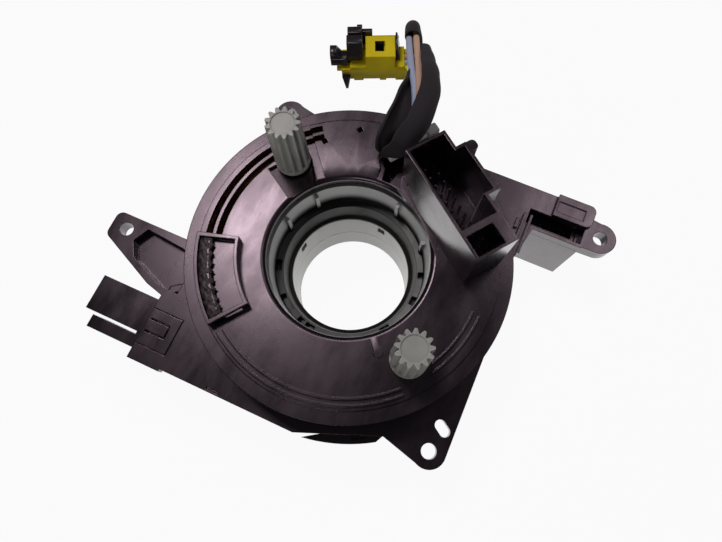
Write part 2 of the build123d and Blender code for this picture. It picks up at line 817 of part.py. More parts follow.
with BuildPart() as hub_sleeve:
    # funnel with a ledge and a lip on the inside, a guide for the drive ring and an outer wall
    with BuildSketch(Plane.XZ):
        with BuildLine():
            Polyline(
                (hub_radius, hub_bottom),
                (hub_radius, collar_bottom - 0.2),
                (collar_radius - pin_gap, collar_bottom - 0.2),
                (collar_radius - pin_gap, hub_top),
                (hub_bore_top, hub_top),
                (hub_ledge_outer, hub_ledge_level),
                (hub_ledge_inner, hub_ledge_level - 0.3),
                (hub_ledge_inner - 1.0, hub_lip_bottom + 1.4),
                (hub_lip_radius, hub_lip_bottom + hub_lip_thickness),
                (hub_lip_radius, hub_lip_bottom),
                (hub_guide_bore, hub_lip_bottom),
                (hub_guide_bore, hub_bottom),
                (hub_guide_bore + hub_guide_wall, hub_bottom),
                (hub_guide_bore + hub_guide_wall, hub_lip_bottom + 2.0),
                (hub_radius - hub_wall, hub_ledge_level - 2.0),
                (hub_radius - hub_wall, hub_bottom),
                close=True,
            )
        make_face()
    revolve(axis=Axis.Z)
    # notches for the drive ring's keys
    for number in range(hub_key_count):
        middle = 45 + 360 / hub_key_count * number
        half = hub_key_angle / 2 + hub_key_play
        band(
            turned(hub_bottom - 1.0), hub_guide_bore - 1.0, hub_guide_bore + hub_guide_wall + 0.3,
            middle - half, middle + half, hub_key_height + 1.4, mode=Mode.SUBTRACT,
        )
    # pockets along the outer edge of the ledge
    for middle, width in hub_ledge_windows:
        band(
            turned(hub_ledge_level - hub_ledge_window_depth), hub_ledge_inner + hub_ledge_window_inset,
            hub_ledge_outer, middle - width / 2, middle + width / 2, hub_ledge_window_depth + 0.2,
            mode=Mode.SUBTRACT,
        )
    # upright ribs on the funnel's wall
    for angle in hub_rib_angles:
        with BuildSketch(turned(hub_ledge_level - 0.5, turn=angle)):
            with Locations((hub_ledge_outer - hub_rib_depth + 0.9, 0)):
                Rectangle(1.8, hub_rib_width)
        extrude(amount=hub_top - hub_ledge_level - 0.4)
finish(hub_sleeve, "hub_sleeve")

# ---------------------------------------------------------------- rotor cover

label_box = (28.9, 40.2, 143.0, 180.0)
label_box_height = 3.2
label_box_wall = 0.9
label_box_floor = 1.0
label_rib = (36.4, 38.0, 146.0, 176.0)
panel_band = (26.0, 40.0, 41.0, 77.0)
panel_height = 0.7
ridge_height = 0.5
ridge_bands = (
    (37.3, 38.0, 183.0, 262.0),
    (39.0, 39.7, 183.0, 262.0),
    (35.8, 36.4, 275.0, 305.0),
    (37.7, 38.3, 272.0, 304.0),
)
pedestal = (socket_left, socket_right, socket_low, socket_high)
disc_web = 2.4               # thicker floor of the disc around the collar
disc_web_width = 3.0
peg_pocket = [(-7.4, 25.2), (-4.6, 23.4), (1.4, 23.4), (4.8, 30.0), (4.8, 33.0), (-7.4, 33.0)]
peg_pocket_depth = 1.2
square_holes = ((10.4, 32.4, 1.4), (20.8, 30.6, 1.4))
dot = (-6.0, -26.9)

with BuildPart() as rotor_cover:
    # face, outer band and skirt
    ring(turned(disc_bottom), disc_radius, collar_radius, disc_thickness - rim_step)
    ring(turned(rotor_face - rim_step), rim_band_inner, collar_radius, rim_step)
    ring(turned(disc_bottom - skirt_height + disc_thickness), disc_radius, skirt_inner, skirt_height - 1.0)
    # collar around the bore with a rounded shoulder
    ring(turned(collar_bottom), collar_outer, collar_radius, collar_depth)
    ring(turned(disc_bottom - disc_web), collar_outer + disc_web_width, collar_radius, disc_web + 0.6)
    shoulder = rotor_cover.edges().filter_by(GeomType.CIRCLE).filter_by_position(
        Axis.Z, rotor_face - 0.01, rotor_face + 0.01
    ).sort_by(SortBy.RADIUS)[0]
    fillet(shoulder, radius=collar_rounding)
    # pedestal under the switch socket fills the shoulder there
    block(turned(rotor_face - collar_rounding), *pedestal, collar_rounding)
    disc(turned(collar_bottom - 1.0), collar_radius, rotor_face, mode=Mode.SUBTRACT)
    # raised panel between the lead and the peg
    band(turned(rotor_face - 0.2), *panel_band, panel_height + 0.2)
    # curved slots and the shallow pocket by the peg
    for radius in slot_radii:
        band(
            turned(disc_bottom - 1.0), radius - slot_width / 2, radius + slot_width / 2, slot_start,
            slot_end, disc_thickness + 3.0, mode=Mode.SUBTRACT,
        )
    plate(turned(rotor_face - peg_pocket_depth), peg_pocket, 4.0, mode=Mode.SUBTRACT)
    # hollow label box, open at its lower end
    band(turned(rotor_face - 0.2), *label_box, label_box_height + 0.2)
    band(
        turned(rotor_face + label_box_floor), label_box[0] + label_box_wall, label_box[1] - label_box_wall,
        label_box[2] + 1.6, label_box[3] - 1.6, label_box_height, mode=Mode.SUBTRACT,
    )
    band(turned(rotor_face + 0.5), *label_rib, label_box_height - 1.0)
    band(
        turned(rotor_face), label_box[0] + 2.0, label_box[1] - 1.2, label_box[3] - 2.0,
        label_box[3] + 1.0, label_box_floor + 0.8, mode=Mode.SUBTRACT,
    )
    # low ridges
    for inner, outer, start, end in ridge_bands:
        band(turned(rotor_face - 0.2), inner, outer, start, end, ridge_height + 0.2)
    # small square holes, an ejector dot and shallow ejector rings
    for x, y, size in square_holes:
        block(
            turned(disc_bottom - 1.0), x - size / 2, x + size / 2, y - size / 2, y + size / 2, 8.0,
            mode=Mode.SUBTRACT,
        )
    disc(turned(rotor_face - 0.2), 1.2, 0.5, at=dot)
    # posts that carry the two drive caps
    for side in (1, -1):
        disc(turned(rotor_face - 1.5), post_radius, post_height + 1.5, at=(0, side * peg_distance))
    # hole that the lead comes out of
    disc(turned(disc_bottom - 3.0), lead_hole_radius, 12.0, at=lead_exit, mode=Mode.SUBTRACT)
    disc(turned(rotor_face), grommet_radius + fit_gap, 4.0, at=lead_exit, mode=Mode.SUBTRACT)
    # slot for the tails of the switch pins
    block(
        turned(disc_bottom - 4.0), switch_pin_x - 1.9, switch_pin_x + 1.9,
        pin_field_low - 0.9, pin_field_high + 0.9, 8.0, mode=Mode.SUBTRACT,
    )
finish(rotor_cover, "rotor_cover")

# ---------------------------------------------------------------- drive caps

cap_root_tip = cap_tip_radius - cap_tooth_depth
cap_root_base = cap_base_radius - cap_tooth_depth


def cap_outline(level, root, tip):
    """Toothed outline of a drive cap at one height, drawn as a sketch."""
    points = []
    step = 360 / cap_teeth
    for number in range(cap_teeth):
        middle = number * step
        points.append(polar(root, middle - 0.42 * step))
        points.append(polar(root + 0.55 * (tip - root), middle - 0.26 * step))
        points.append(polar(tip, middle - 0.12 * step))
        points.append(polar(tip, middle + 0.12 * step))
        points.append(polar(root + 0.55 * (tip - root), middle + 0.26 * step))
        points.append(polar(root, middle + 0.42 * step))
    with BuildSketch(level) as profile:
        with BuildLine():
            Polyline(*points, close=True)
        make_face()
    return profile.sketch


for number, side in ((1, 1), (2, -1)):
    place = (0, side * peg_distance)
    with BuildPart() as cap:
        base = cap_outline(turned(rotor_face + cap_flange_height, *place), cap_root_base, cap_base_radius)
        tip = cap_outline(turned(rotor_face + peg_height, *place), cap_root_tip, cap_tip_radius)
        loft([base.face(), tip.face()])
        disc(turned(rotor_face, *place), cap_base_radius, cap_flange_height)
        disc(
            turned(rotor_face + peg_height - cap_dish_depth, *place), cap_dish_radius, 1.0,
            mode=Mode.SUBTRACT,
        )
        disc(turned(rotor_face - 1.0, *place), post_radius + pin_gap, post_height + 1.2, mode=Mode.SUBTRACT)
    finish(cap, f"drive_cap_{number}")

# ---------------------------------------------------------------- switch socket

lug_width = 2.9

with BuildPart() as switch_socket:
    block(turned(rotor_face), socket_left, socket_right, socket_low, socket_high, socket_height)
    block(turned(rotor_face), socket_right - 1.0, side_bay_right, side_bay_low, side_bay_high, socket_height)
    # latch lugs on the outer side
    plate(
        turned(rotor_face + 6.0),
        [
            (side_bay_right - 0.4, side_bay_high - lug_width), (side_bay_right + 2.4, side_bay_high - lug_width),
            (side_bay_right + 2.4, side_bay_high), (side_bay_right - 0.4, side_bay_high),
        ],
        13.0,
        corner=1.2,
        rounded=(1, 2),
    )
    block(turned(rotor_face + 9.0), side_bay_right, side_bay_right + 0.9, side_bay_low, -8.4, 10.0)
    # main compartment with its side bay
    block(
        turned(rotor_face + socket_floor), socket_left + socket_wall, socket_right - socket_wall,
        divider_high, socket_high - socket_wall, socket_height, mode=Mode.SUBTRACT,
    )
    block(
        turned(rotor_face + socket_floor), socket_right - 2.0, side_bay_right - socket_wall,
        side_bay_low + socket_wall, side_bay_high - socket_wall, socket_height, mode=Mode.SUBTRACT,
    )
    # small compartment
    block(
        turned(rotor_face + socket_floor), socket_left + socket_wall, small_bay_right,
        socket_low + socket_wall, divider_low, socket_height, mode=Mode.SUBTRACT,
    )
    # holes for the pins
    for x, y in switch_pin_spots:
        square_pin(turned(rotor_face - 1.0), x, y, socket_floor + 2.0, mode=Mode.SUBTRACT)
finish(switch_socket, "switch_socket")

carrier_top = disc_bottom - disc_web - 0.2
carrier_thickness = 2.0
carrier_bottom = carrier_top - carrier_thickness
pin_tip_taper = 0.2

with BuildPart() as switch_pins:
    for x, y in switch_pin_spots:
        square_pin(turned(carrier_bottom), x, y, pin_tip - carrier_bottom)
    chamfer(switch_pins.faces().filter_by(Plane.XY).group_by(Axis.Z)[-1].edges(), pin_tip_taper)
finish(switch_pins, "switch_pins")

with BuildPart() as side_pins:
    for y in side_pin_ys:
        square_pin(turned(rotor_face + socket_floor), side_pin_x, y, side_pin_height)
finish(side_pins, "side_pins")

# ---------------------------------------------------------------- conductor carrier under the disc

carrier_leg_inner = hub_radius + 0.05
carrier_leg_outer = ribbon_first_radius - 0.3
carrier_left = collar_outer + 0.5
carrier_right = socket_right + 0.5

with BuildPart() as conductor_carrier:
    plate(
        turned(carrier_bottom),
        [
            (carrier_left, pin_field_low - 1.8), (carrier_right, pin_field_low - 1.8),
            (carrier_right, pin_field_high + 1.9), (30.5, lead_exit[1] + 4.1), (22.5, lead_exit[1] + 4.1),
            (22.0, lead_exit[1] - 2.4), (carrier_left, pin_field_high + 1.9),
        ],
        carrier_thickness,
    )
    # leg down the hub to the ribbon's inner end
    band(
        turned(ribbon_bottom + 0.4), carrier_leg_inner, carrier_leg_outer, -8.0, 8.0,
        collar_bottom - 0.3 - ribbon_bottom - 0.4,
    )
    band(
        turned(collar_bottom - 1.0), collar_outer + 0.15, carrier_leg_outer, -8.0, 8.0,
        carrier_bottom - collar_bottom + 1.4,
    )
    for x, y in switch_pin_spots:
        square_pin(turned(carrier_bottom - 1.0), x, y, carrier_thickness + 2.0, mode=Mode.SUBTRACT)
finish(conductor_carrier, "conductor_carrier")

# ---------------------------------------------------------------- ribbon cable and its slide ring

with BuildPart() as ribbon_cable:
    with BuildSketch(turned(ribbon_bottom)):
        with BuildLine():
            for half in range(ribbon_half_turns):
                centre = (half % 2 * ribbon_pitch / 2, 0)
                radius = ribbon_first_radius + half * ribbon_pitch / 2
                near = CenterArc(centre, radius, 180 * (half % 2), 180)
                far = CenterArc(centre, radius + ribbon_thickness, 180 * (half % 2), 180)
                if half == 0:
                    Line(near @ 0, far @ 0)
            Line(near @ 1, far @ 1)
        make_face()
    extrude(amount=ribbon_width)
finish(ribbon_cable, "ribbon_cable")

with BuildPart() as slide_ring:
    ring(flat(drum_inside), drum_inner - 0.3, drum_hole + 0.3, slide_ring_thickness)
finish(slide_ring, "slide_ring")

# ---------------------------------------------------------------- ribbon's fixed terminal

with BuildPart() as ribbon_terminal:
    band(
        flat(terminal_bottom), drum_inner, drum_outer - fit_gap, terminal_angle - terminal_half_angle,
        terminal_angle + terminal_half_angle, terminal_height,
    )
    band(
        flat(terminal_bottom), drum_outer - 1.0, terminal_foot, terminal_angle - terminal_half_angle,
        terminal_angle + terminal_half_angle, case_top - 0.3 - terminal_bottom,
    )
    for x, y in terminal_spots:
        square_pin(flat(terminal_bottom - 1.0), x, y, 3.0, mode=Mode.SUBTRACT)
finish(ribbon_terminal, "ribbon_terminal")

with BuildPart() as terminal_pins:
    for x, y in terminal_spots:
        square_pin(flat(board_level - pin_tail), x, y, terminal_bottom + 2.0 - board_level + pin_tail)
finish(terminal_pins, "terminal_pins")

# ---------------------------------------------------------------- airbag lead

plug_middle = plug_bottom + plug_height / 2
sleeve_points = [
    (*lead_exit, rotor_face + grommet_height), (*lead_exit, 46.2), (28.4, 17.8, 51.0), (34.4, 21.0, 52.6),
    (40.2, 26.6, 51.2), (45.2, 33.2, 48.0), (49.6, 40.0, 44.6),
]
tan_points = [(34.2, 23.4, 52.0), (37.6, 29.8, 50.9), (42.2, 37.1, 48.4), (46.8, 44.2, 45.2), (50.3, 49.9, 42.9)]
blue_points = [(32.9, 24.1, 51.2), (36.0, 30.8, 50.2), (40.6, 38.1, 47.8), (45.2, 45.1, 44.8), (48.8, 50.8, 42.4)]
end_sleeve_points = [
    (49.1, 49.4, 43.0), (51.6, 53.2, 41.6), (54.0, 52.6, 38.0), (53.4, 47.8, 35.6), (49.9, 46.04, plug_middle),
]
plug_wire_start = 9.0
plug_wire_length = 5.6
plug_wire_spread = 1.1


def lead_tube(points, diameter):
    """Round tube along a route given in the rotor's frame, with its length and bend radii."""
    route = [rotor_point(*point) for point in points]
    with BuildLine(mode=Mode.PRIVATE) as line:
        path, radii = tube_path(route)
    start = Plane(origin=path @ 0, z_dir=path % 0)
    with BuildPart(mode=Mode.PRIVATE) as tube:
        with BuildSketch(start) as section:
            Circle(diameter / 2)
        sweep(section.sketch, path=line.wires()[0])
    length = line.wires()[0].length
    expected = pi * (diameter / 2) ** 2 * length
    print("tube length", round(length, 1), "radii", [round(r, 1) for r in radii],
          "volume share", round(tube.part.volume / expected, 4))
    return tube.part


with BuildPart() as lead_grommet:
    disc(turned(rotor_face), grommet_radius, grommet_height, at=lead_exit)
    # flat tongue that lies on the face beside the switch socket
    block(turned(rotor_face), *grommet_tongue, grommet_height)
    disc(
        turned(carrier_top), lead_hole_radius - pin_gap, rotor_face - carrier_top, at=lead_exit
    )
finish(lead_grommet, "lead_grommet")

sleeve = lead_tube(sleeve_points, sleeve_diameter)
sleeve.label = "lead_sleeve"
parts["lead_sleeve"] = sleeve
end_sleeve = lead_tube(end_sleeve_points, end_sleeve_diameter)
end_sleeve.label = "lead_end_sleeve"
parts["lead_end_sleeve"] = end_sleeve

plug_axis = turned(plug_middle, *plug_centre, turn=plug_turn)
for label, points, side in (("lead_wire_tan", tan_points, 1), ("lead_wire_blue", blue_points, -1)):
    long_run = lead_tube(points, wire_diameter)
    tail_plane = Plane(
        origin=plug_axis.from_local_coords(Vector(plug_wire_start, side * plug_wire_spread, 0)),
        z_dir=plug_axis.x_dir,
    )
    with BuildPart() as wire:
        add(long_run)
        with BuildSketch(tail_plane):
            Circle(wire_diameter / 2)
        extrude(amount=plug_wire_length)
    finish(wire, label)

# ---------------------------------------------------------------- plug

plug_level = turned(0, *plug_centre, turn=plug_turn)
plug_right = plug_length / 2
plug_left = -9.3
plug_half = plug_depth / 2
plug_step = plug_bottom + 6.4
plug_ledge = plug_step + 1.1
plug_top = plug_bottom + plug_height
tall_block = (-1.85, 7.0)
plug_window = (1.2, 4.0, -1.6, 1.8)
plug_window_depth = 1.6
lock_leg = (-8.8, -6.8, 1.0)
lock_tab = (-6.8, -2.3)
cavity_half = 0.95
contact_half = 0.7


def across(x):
    """Upright plane across the plug, at a distance along it; its own axes are depth and height."""
    return Plane(
        origin=plug_level.from_local_coords(Vector(x, 0, 0)), x_dir=plug_level.y_dir, z_dir=plug_level.x_dir
    )


def plug_block(x_low, x_high, y_low, y_high, z_low, z_high, mode=Mode.ADD):
    """Box between two corners in the plug's frame."""
    block(across(x_low), y_low, y_high, z_low, z_high, x_high - x_low, mode=mode)


with BuildPart() as plug_housing:
    # lower body, whose front leans inwards going down
    plate(
        across(plug_left),
        [(-plug_half, plug_step), (plug_half, plug_step), (plug_half, plug_bottom), (-plug_half + 1.5, plug_bottom)],
        plug_right - plug_left,
    )
    plug_block(-6.6, plug_right - 1.0, -plug_half, plug_half, plug_step - 0.5, plug_ledge)
    plug_block(*tall_block, -plug_half, plug_half, plug_step, plug_top)
    # lugs under the mating face
    for low, high in ((-5.6, -2.6), (2.6, 4.6), (7.6, 10.4)):
        plug_block(low, high, -plug_half + 1.6, plug_half - 0.4, plug_bottom - 0.9, plug_bottom + 0.5)
    plug_block(plug_left - 1.5, plug_left + 0.5, -2.2, 2.4, plug_step - 2.4, plug_step - 1.2)
    # square window in the top of the tall block
    plug_block(*plug_window, plug_top - plug_window_depth, plug_top + 1.0, mode=Mode.SUBTRACT)
    # slot for the lock's leg
    plug_block(
        lock_leg[0] - fit_gap, lock_leg[1] + fit_gap, -lock_leg[2] - fit_gap, lock_leg[2] + fit_gap,
        plug_bottom - 2.0, plug_top, mode=Mode.SUBTRACT,
    )
    # recess of the mating face, and the contacts' cavities
    plug_block(-2.4, 2.2, -1.9, 2.4, plug_bottom - 1.0, plug_bottom + 1.6, mode=Mode.SUBTRACT)
    for side in (1, -1):
        y = side * plug_wire_spread
        plug_block(
            -1.15, plug_right + 1.0, y - cavity_half, y + cavity_half, plug_middle - cavity_half,
            plug_middle + cavity_half, mode=Mode.SUBTRACT,
        )
        plug_block(
            -1.15, 0.35, y - contact_half - 0.1, y + contact_half + 0.1, plug_bottom, plug_middle,
            mode=Mode.SUBTRACT,
        )
finish(plug_housing, "plug_housing")

with BuildPart() as plug_contacts:
    for side in (1, -1):
        y = side * plug_wire_spread
        plug_block(
            -1.0, plug_wire_start, y - contact_half, y + contact_half, plug_middle - contact_half,
            plug_middle + contact_half,
        )
        plug_block(-1.0, 0.2, y - contact_half, y + contact_half, plug_bottom + 0.8, plug_middle)
finish(plug_contacts, "plug_contacts")

lock_back = plug_half + fit_gap
lock_wall = 1.2
lock_top = plug_top + 2.6
lock_low = plug_bottom - 1.5

with BuildPart() as plug_lock:
    # leg that guides the lock in the housing
    plug_block(lock_leg[0], lock_leg[1], -lock_leg[2], lock_leg[2], lock_low, plug_step + 2.6)
    # ribbed finger tab
    plug_block(*lock_tab, -2.6, lock_back + lock_wall, plug_ledge + fit_gap, lock_top)
    plug_block(lock_leg[0], lock_tab[1], -2.0, 2.0, plug_ledge + fit_gap, plug_step + 2.6)
    for level in (plug_ledge + 2.0, plug_ledge + 4.6):
        plug_block(
            lock_tab[0] - 1.0, lock_tab[1] + 1.0, -3.0, -2.2, level, level + 0.7, mode=Mode.SUBTRACT
        )
    # bar behind the housing with a wedge at its far end
    plug_block(lock_leg[0], 8.6, lock_back, lock_back + lock_wall, plug_step - 1.4, plug_top - 0.6)
    plug_block(7.0 + fit_gap, 8.6, -0.5, lock_back + 0.5, plug_ledge + fit_gap, plug_top + 0.6)
    # guard at the near end
    plug_block(-12.0, lock_leg[0] + 0.5, -2.0, 2.0, plug_step + fit_gap, plug_step + 2.2)
    plug_block(-12.0, -10.2, -2.0, 2.0, plug_step + fit_gap, plug_step + 4.2)
finish(plug_lock, "plug_lock")

# ---------------------------------------------------------------- export

os.makedirs("parts", exist_ok=True)
for label, shape in parts.items():
    export_step(shape, f"parts/{label}.step")
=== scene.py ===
"""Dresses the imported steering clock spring: finishes, airbag lead, plug and small moulded detail."""

import json
from math import cos, pi, radians, sin

import bmesh
import bpy
from mathutils import Matrix, Vector


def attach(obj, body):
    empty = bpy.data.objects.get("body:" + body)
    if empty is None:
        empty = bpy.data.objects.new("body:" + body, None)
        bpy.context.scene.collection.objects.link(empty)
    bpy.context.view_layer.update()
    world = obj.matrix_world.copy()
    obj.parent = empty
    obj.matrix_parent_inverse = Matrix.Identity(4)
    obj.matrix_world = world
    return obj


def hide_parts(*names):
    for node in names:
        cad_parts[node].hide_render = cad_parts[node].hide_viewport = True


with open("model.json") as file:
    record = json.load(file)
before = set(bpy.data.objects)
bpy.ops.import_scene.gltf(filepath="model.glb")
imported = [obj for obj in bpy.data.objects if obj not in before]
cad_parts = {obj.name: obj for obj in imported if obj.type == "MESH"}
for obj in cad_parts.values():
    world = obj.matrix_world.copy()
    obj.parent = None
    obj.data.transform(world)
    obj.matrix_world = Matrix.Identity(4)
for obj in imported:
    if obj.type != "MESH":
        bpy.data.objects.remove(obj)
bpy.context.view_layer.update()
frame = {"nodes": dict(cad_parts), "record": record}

bl_info = {
    "name": "Steering clock spring",
    "version": (1, 0, 0),
    "blender": (4, 5, 0),
    "location": "3D View > Sidebar > Clock spring",
    "description": "Finishes and fine pieces of a steering clock spring",
    "category": "Object",
}

MM = 0.001
# Turn of the rotor's own frame, in which its pieces' places are given
ROTOR_TURN = radians(53.1)


# ---------------------------------------------------------------- settings


class ClockSpringColours(bpy.types.PropertyGroup):
    """Colours of the finishes."""

    black: bpy.props.FloatVectorProperty(
        name="Black mouldings", description="Base colour of the black plastic", subtype="COLOR",
        size=3, min=0, max=1, default=(0.0062, 0.0036, 0.0058),
    )
    natural: bpy.props.FloatVectorProperty(
        name="Drive caps", description="Base colour of the natural plastic", subtype="COLOR",
        size=3, min=0, max=1, default=(0.50, 0.53, 0.48),
    )
    ring: bpy.props.FloatVectorProperty(
        name="Drive ring", description="Base colour of the ring down the bore", subtype="COLOR",
        size=3, min=0, max=1, default=(0.82, 0.84, 0.77),
    )
    plug: bpy.props.FloatVectorProperty(
        name="Plug", description="Base colour of the airbag plug", subtype="COLOR",
        size=3, min=0, max=1, default=(1.0, 0.81, 0.02),
    )
    tan: bpy.props.FloatVectorProperty(
        name="Tan wire", description="Insulation of the first airbag wire", subtype="COLOR",
        size=3, min=0, max=1, default=(0.72, 0.38, 0.20),
    )
    blue: bpy.props.FloatVectorProperty(
        name="Blue wire", description="Insulation of the second airbag wire", subtype="COLOR",
        size=3, min=0, max=1, default=(0.50, 0.54, 0.70),
    )


class ClockSpringSizes(bpy.types.PropertyGroup):
    """Sizes of the lead's pieces."""

    sleeve_diameter: bpy.props.FloatProperty(
        name="Sleeve diameter", description="Outer diameter of the lead's tubing",
        subtype="DISTANCE", unit="LENGTH", min=0.004, max=0.01, default=7.0 * MM,
    )
    wire_diameter: bpy.props.FloatProperty(
        name="Wire diameter", description="Outer diameter of one airbag wire",
        subtype="DISTANCE", unit="LENGTH", min=0.001, max=0.003, default=1.9 * MM,
    )
    end_sleeve_diameter: bpy.props.FloatProperty(
        name="End sleeve diameter", description="Outer diameter of the tubing at the plug",
        subtype="DISTANCE", unit="LENGTH", min=0.003, max=0.006, default=4.6 * MM,
    )


class ClockSpringStage(bpy.types.PropertyGroup):
    """Camera and light."""

    lens: bpy.props.FloatProperty(
        name="Lens", description="Focal length of the camera in millimetres", unit="CAMERA",
        min=15, max=200, default=26.31,
    )
    floor: bpy.props.FloatVectorProperty(
        name="Floor", description="Colour of the floor", subtype="COLOR", size=3, min=0, max=1,
        default=(0.92, 0.91, 0.92),
    )
    key: bpy.props.FloatProperty(
        name="Key light", description="Power of the main light in watts", unit="POWER",
        min=0, max=100, default=1.9,
    )


# ---------------------------------------------------------------- material helpers

# Radius of the look of rounded edges
EDGE_RADIUS = 0.3 * MM
# Range of a noise pattern in which most of its values lie
MIDDLE = (0.3, 0.7)
# Upward part of the normal at which a face counts as an upright wall, and from which it doesn't
UPRIGHT = (0.12, 0.5)


def node_at(tree, kind, inputs=None, **settings):
    """Add a shader node, with its settings and its inputs' values."""
    node = tree.nodes.new(kind)
    for name, value in settings.items():
        setattr(node, name, value)
    for name, value in (inputs or {}).items():
        node.inputs[name].default_value = value
    return node


def new_finish(name, colour, roughness, **sockets):
    """Material with one Principled shader. Returns the material, its tree, the shader and the
    object coordinates that its patterns follow."""
    material = bpy.data.materials.new(name)
    material.use_nodes = True
    tree = material.node_tree
    shader = tree.nodes["Principled BSDF"]
    shader.inputs["Base Color"].default_value = (*colour, 1)
    shader.inputs["Roughness"].default_value = roughness
    for socket, value in sockets.items():
        shader.inputs[socket.replace("_", " ")].default_value = value
    place = node_at(tree, "ShaderNodeTexCoord").outputs["Object"]
    return material, tree, shader, place


def parts_of(material):
    """A finish's tree, its shader and its object coordinates."""
    tree = material.node_tree
    place = node_at(tree, "ShaderNodeTexCoord").outputs["Object"]
    return tree, tree.nodes["Principled BSDF"], place


def noise(tree, place, scale, detail=3.0, rough=0.5, stretch=None):
    """Noise pattern on object coordinates, stretched along an axis if asked."""
    if stretch is not None:
        mapping = node_at(tree, "ShaderNodeMapping", {"Scale": stretch})
        tree.links.new(place, mapping.inputs["Vector"])
        place = mapping.outputs["Vector"]
    texture = node_at(
        tree, "ShaderNodeTexNoise", {"Scale": scale, "Detail": detail, "Roughness": rough}
    )
    tree.links.new(place, texture.inputs["Vector"])
    return texture.outputs["Fac"]


def spread(tree, value, source, target=(0, 1)):
    """Map a range of a pattern to another range."""
    node = node_at(
        tree, "ShaderNodeMapRange",
        {
            "From Min": source[0], "From Max": source[1],
            "To Min": target[0], "To Max": target[1],
        },
    )
    tree.links.new(value, node.inputs["Value"])
    return node.outputs["Result"]


def tint(tree, value, low, high):
    """Blend of two colours that a pattern steers."""
    node = node_at(tree, "ShaderNodeMix", data_type="RGBA")
    node.inputs["A"].default_value = (*low, 1)
    node.inputs["B"].default_value = (*high, 1)
    tree.links.new(value, node.inputs["Factor"])
    return node.outputs["Result"]


def upward(tree, vector):
    """The Z part of a vector."""
    axes = node_at(tree, "ShaderNodeSeparateXYZ")
    tree.links.new(vector, axes.inputs["Vector"])
    return axes.outputs["Z"]


def upright_share(tree):
    """One on upright walls and nought on faces that look up or down."""
    normal = node_at(tree, "ShaderNodeNewGeometry").outputs["Normal"]
    size = node_at(tree, "ShaderNodeMath", operation="ABSOLUTE")
    tree.links.new(upward(tree, normal), size.inputs[0])
    return spread(tree, size.outputs[0], UPRIGHT, (1, 0))


def soft_edges(tree, shader):
    """Rounded look of the sharp edges."""
    node = node_at(tree, "ShaderNodeBevel", {"Radius": EDGE_RADIUS}, samples=6)
    tree.links.new(node.outputs["Normal"], shader.inputs["Normal"])
    return node.outputs["Normal"]


def relief(tree, shader, value, depth, strength, before=None):
    """Bump from a pattern, on top of an earlier one. Its depth is in millimetres."""
    node = node_at(tree, "ShaderNodeBump", {"Distance": depth * MM, "Strength": strength})
    tree.links.new(value, node.inputs["Height"])
    if before is not None:
        tree.links.new(before, node.inputs["Normal"])
    tree.links.new(node.outputs["Normal"], shader.inputs["Normal"])
    return node.outputs["Normal"]


def scaled(colour, factor):
    """Colour made lighter or darker."""
    return tuple(min(1.0, part * factor) for part in colour)


# ---------------------------------------------------------------- finishes

# Tints of what the black plastic reflects, on the mouldings and in the bore
MOULDING_SHEEN = (1.0, 0.84, 0.93)
BORE_SHEEN = (0.95, 1.0, 0.95)
# Share of the clear coat on a moulding's upright walls
WALL_POLISH = 0.55
# Heights between which the polish of the bore begins, in millimetres, and the pale colour above them,
# a painted reflection of the bright floor on the upper bore wall
BORE_POLISH = (28.0, 31.0)
BORE_PAINTED_REFLECTION = (0.075, 0.082, 0.074)
# Heights between which the drive ring's lower band ends, and middle and half width of the
# painted shade line along its groove, in millimetres
RING_BANDS = (9.6, 10.2)
RING_GROOVE = (9.75, 0.36)
GROOVE_PAINTED_SHADE = (0.02, 0.02, 0.02)


def black_moulding(name, colour, roughness, grain=0.25, ior=1.75, sheen=MOULDING_SHEEN):
    """Satin black plastic: flow clouds, spark-eroded grain, smears and polished upright walls."""
    material, tree, shader, place = new_finish(
        name, colour, roughness, IOR=ior, Coat_IOR=2.0, Coat_Roughness=0.2,
        Specular_Tint=(*sheen, 1),
    )
    clouds = spread(tree, noise(tree, place, scale=42, detail=4), MIDDLE)
    shades = tint(tree, clouds, scaled(colour, 0.8), scaled(colour, 1.35))
    tree.links.new(shades, shader.inputs["Base Color"])
    smears = noise(tree, place, scale=160, detail=5, rough=0.6, stretch=(1.0, 0.35, 1.0))
    gloss = spread(tree, smears, MIDDLE, (roughness - 0.06, roughness + 0.08))
    tree.links.new(gloss, shader.inputs["Roughness"])
    polish = spread(tree, upright_share(tree), (0, 1), (0, WALL_POLISH))
    tree.links.new(polish, shader.inputs["Coat Weight"])
    edges = soft_edges(tree, shader)
    eroded = noise(tree, place, scale=4200, detail=2)
    fine = relief(tree, shader, eroded, depth=0.04, strength=grain, before=edges)
    waves = noise(tree, place, scale=260, detail=3)
    relief(tree, shader, waves, depth=0.12, strength=0.12, before=fine)
    return material


def bore_moulding(name, colour):
    """Black plastic that is polished above the ledge in the bore and eroded below it, with a paler
    colour above the ledge as a painted reflection.
    """
    material = black_moulding(name, colour, 0.42, grain=0.05, ior=1.6, sheen=BORE_SHEEN)
    tree, shader, place = parts_of(material)
    above = spread(tree, upward(tree, place), [height * MM for height in BORE_POLISH])
    tree.links.new(above, shader.inputs["Coat Weight"])
    shader.inputs["Coat IOR"].default_value = 3.2
    shader.inputs["Coat Roughness"].default_value = 0.5
    # Paler base colour above the ledge: painted reflection of the bright floor on the bore wall
    tree.links.new(tint(tree, above, colour, BORE_PAINTED_REFLECTION), shader.inputs["Base Color"])
    return material


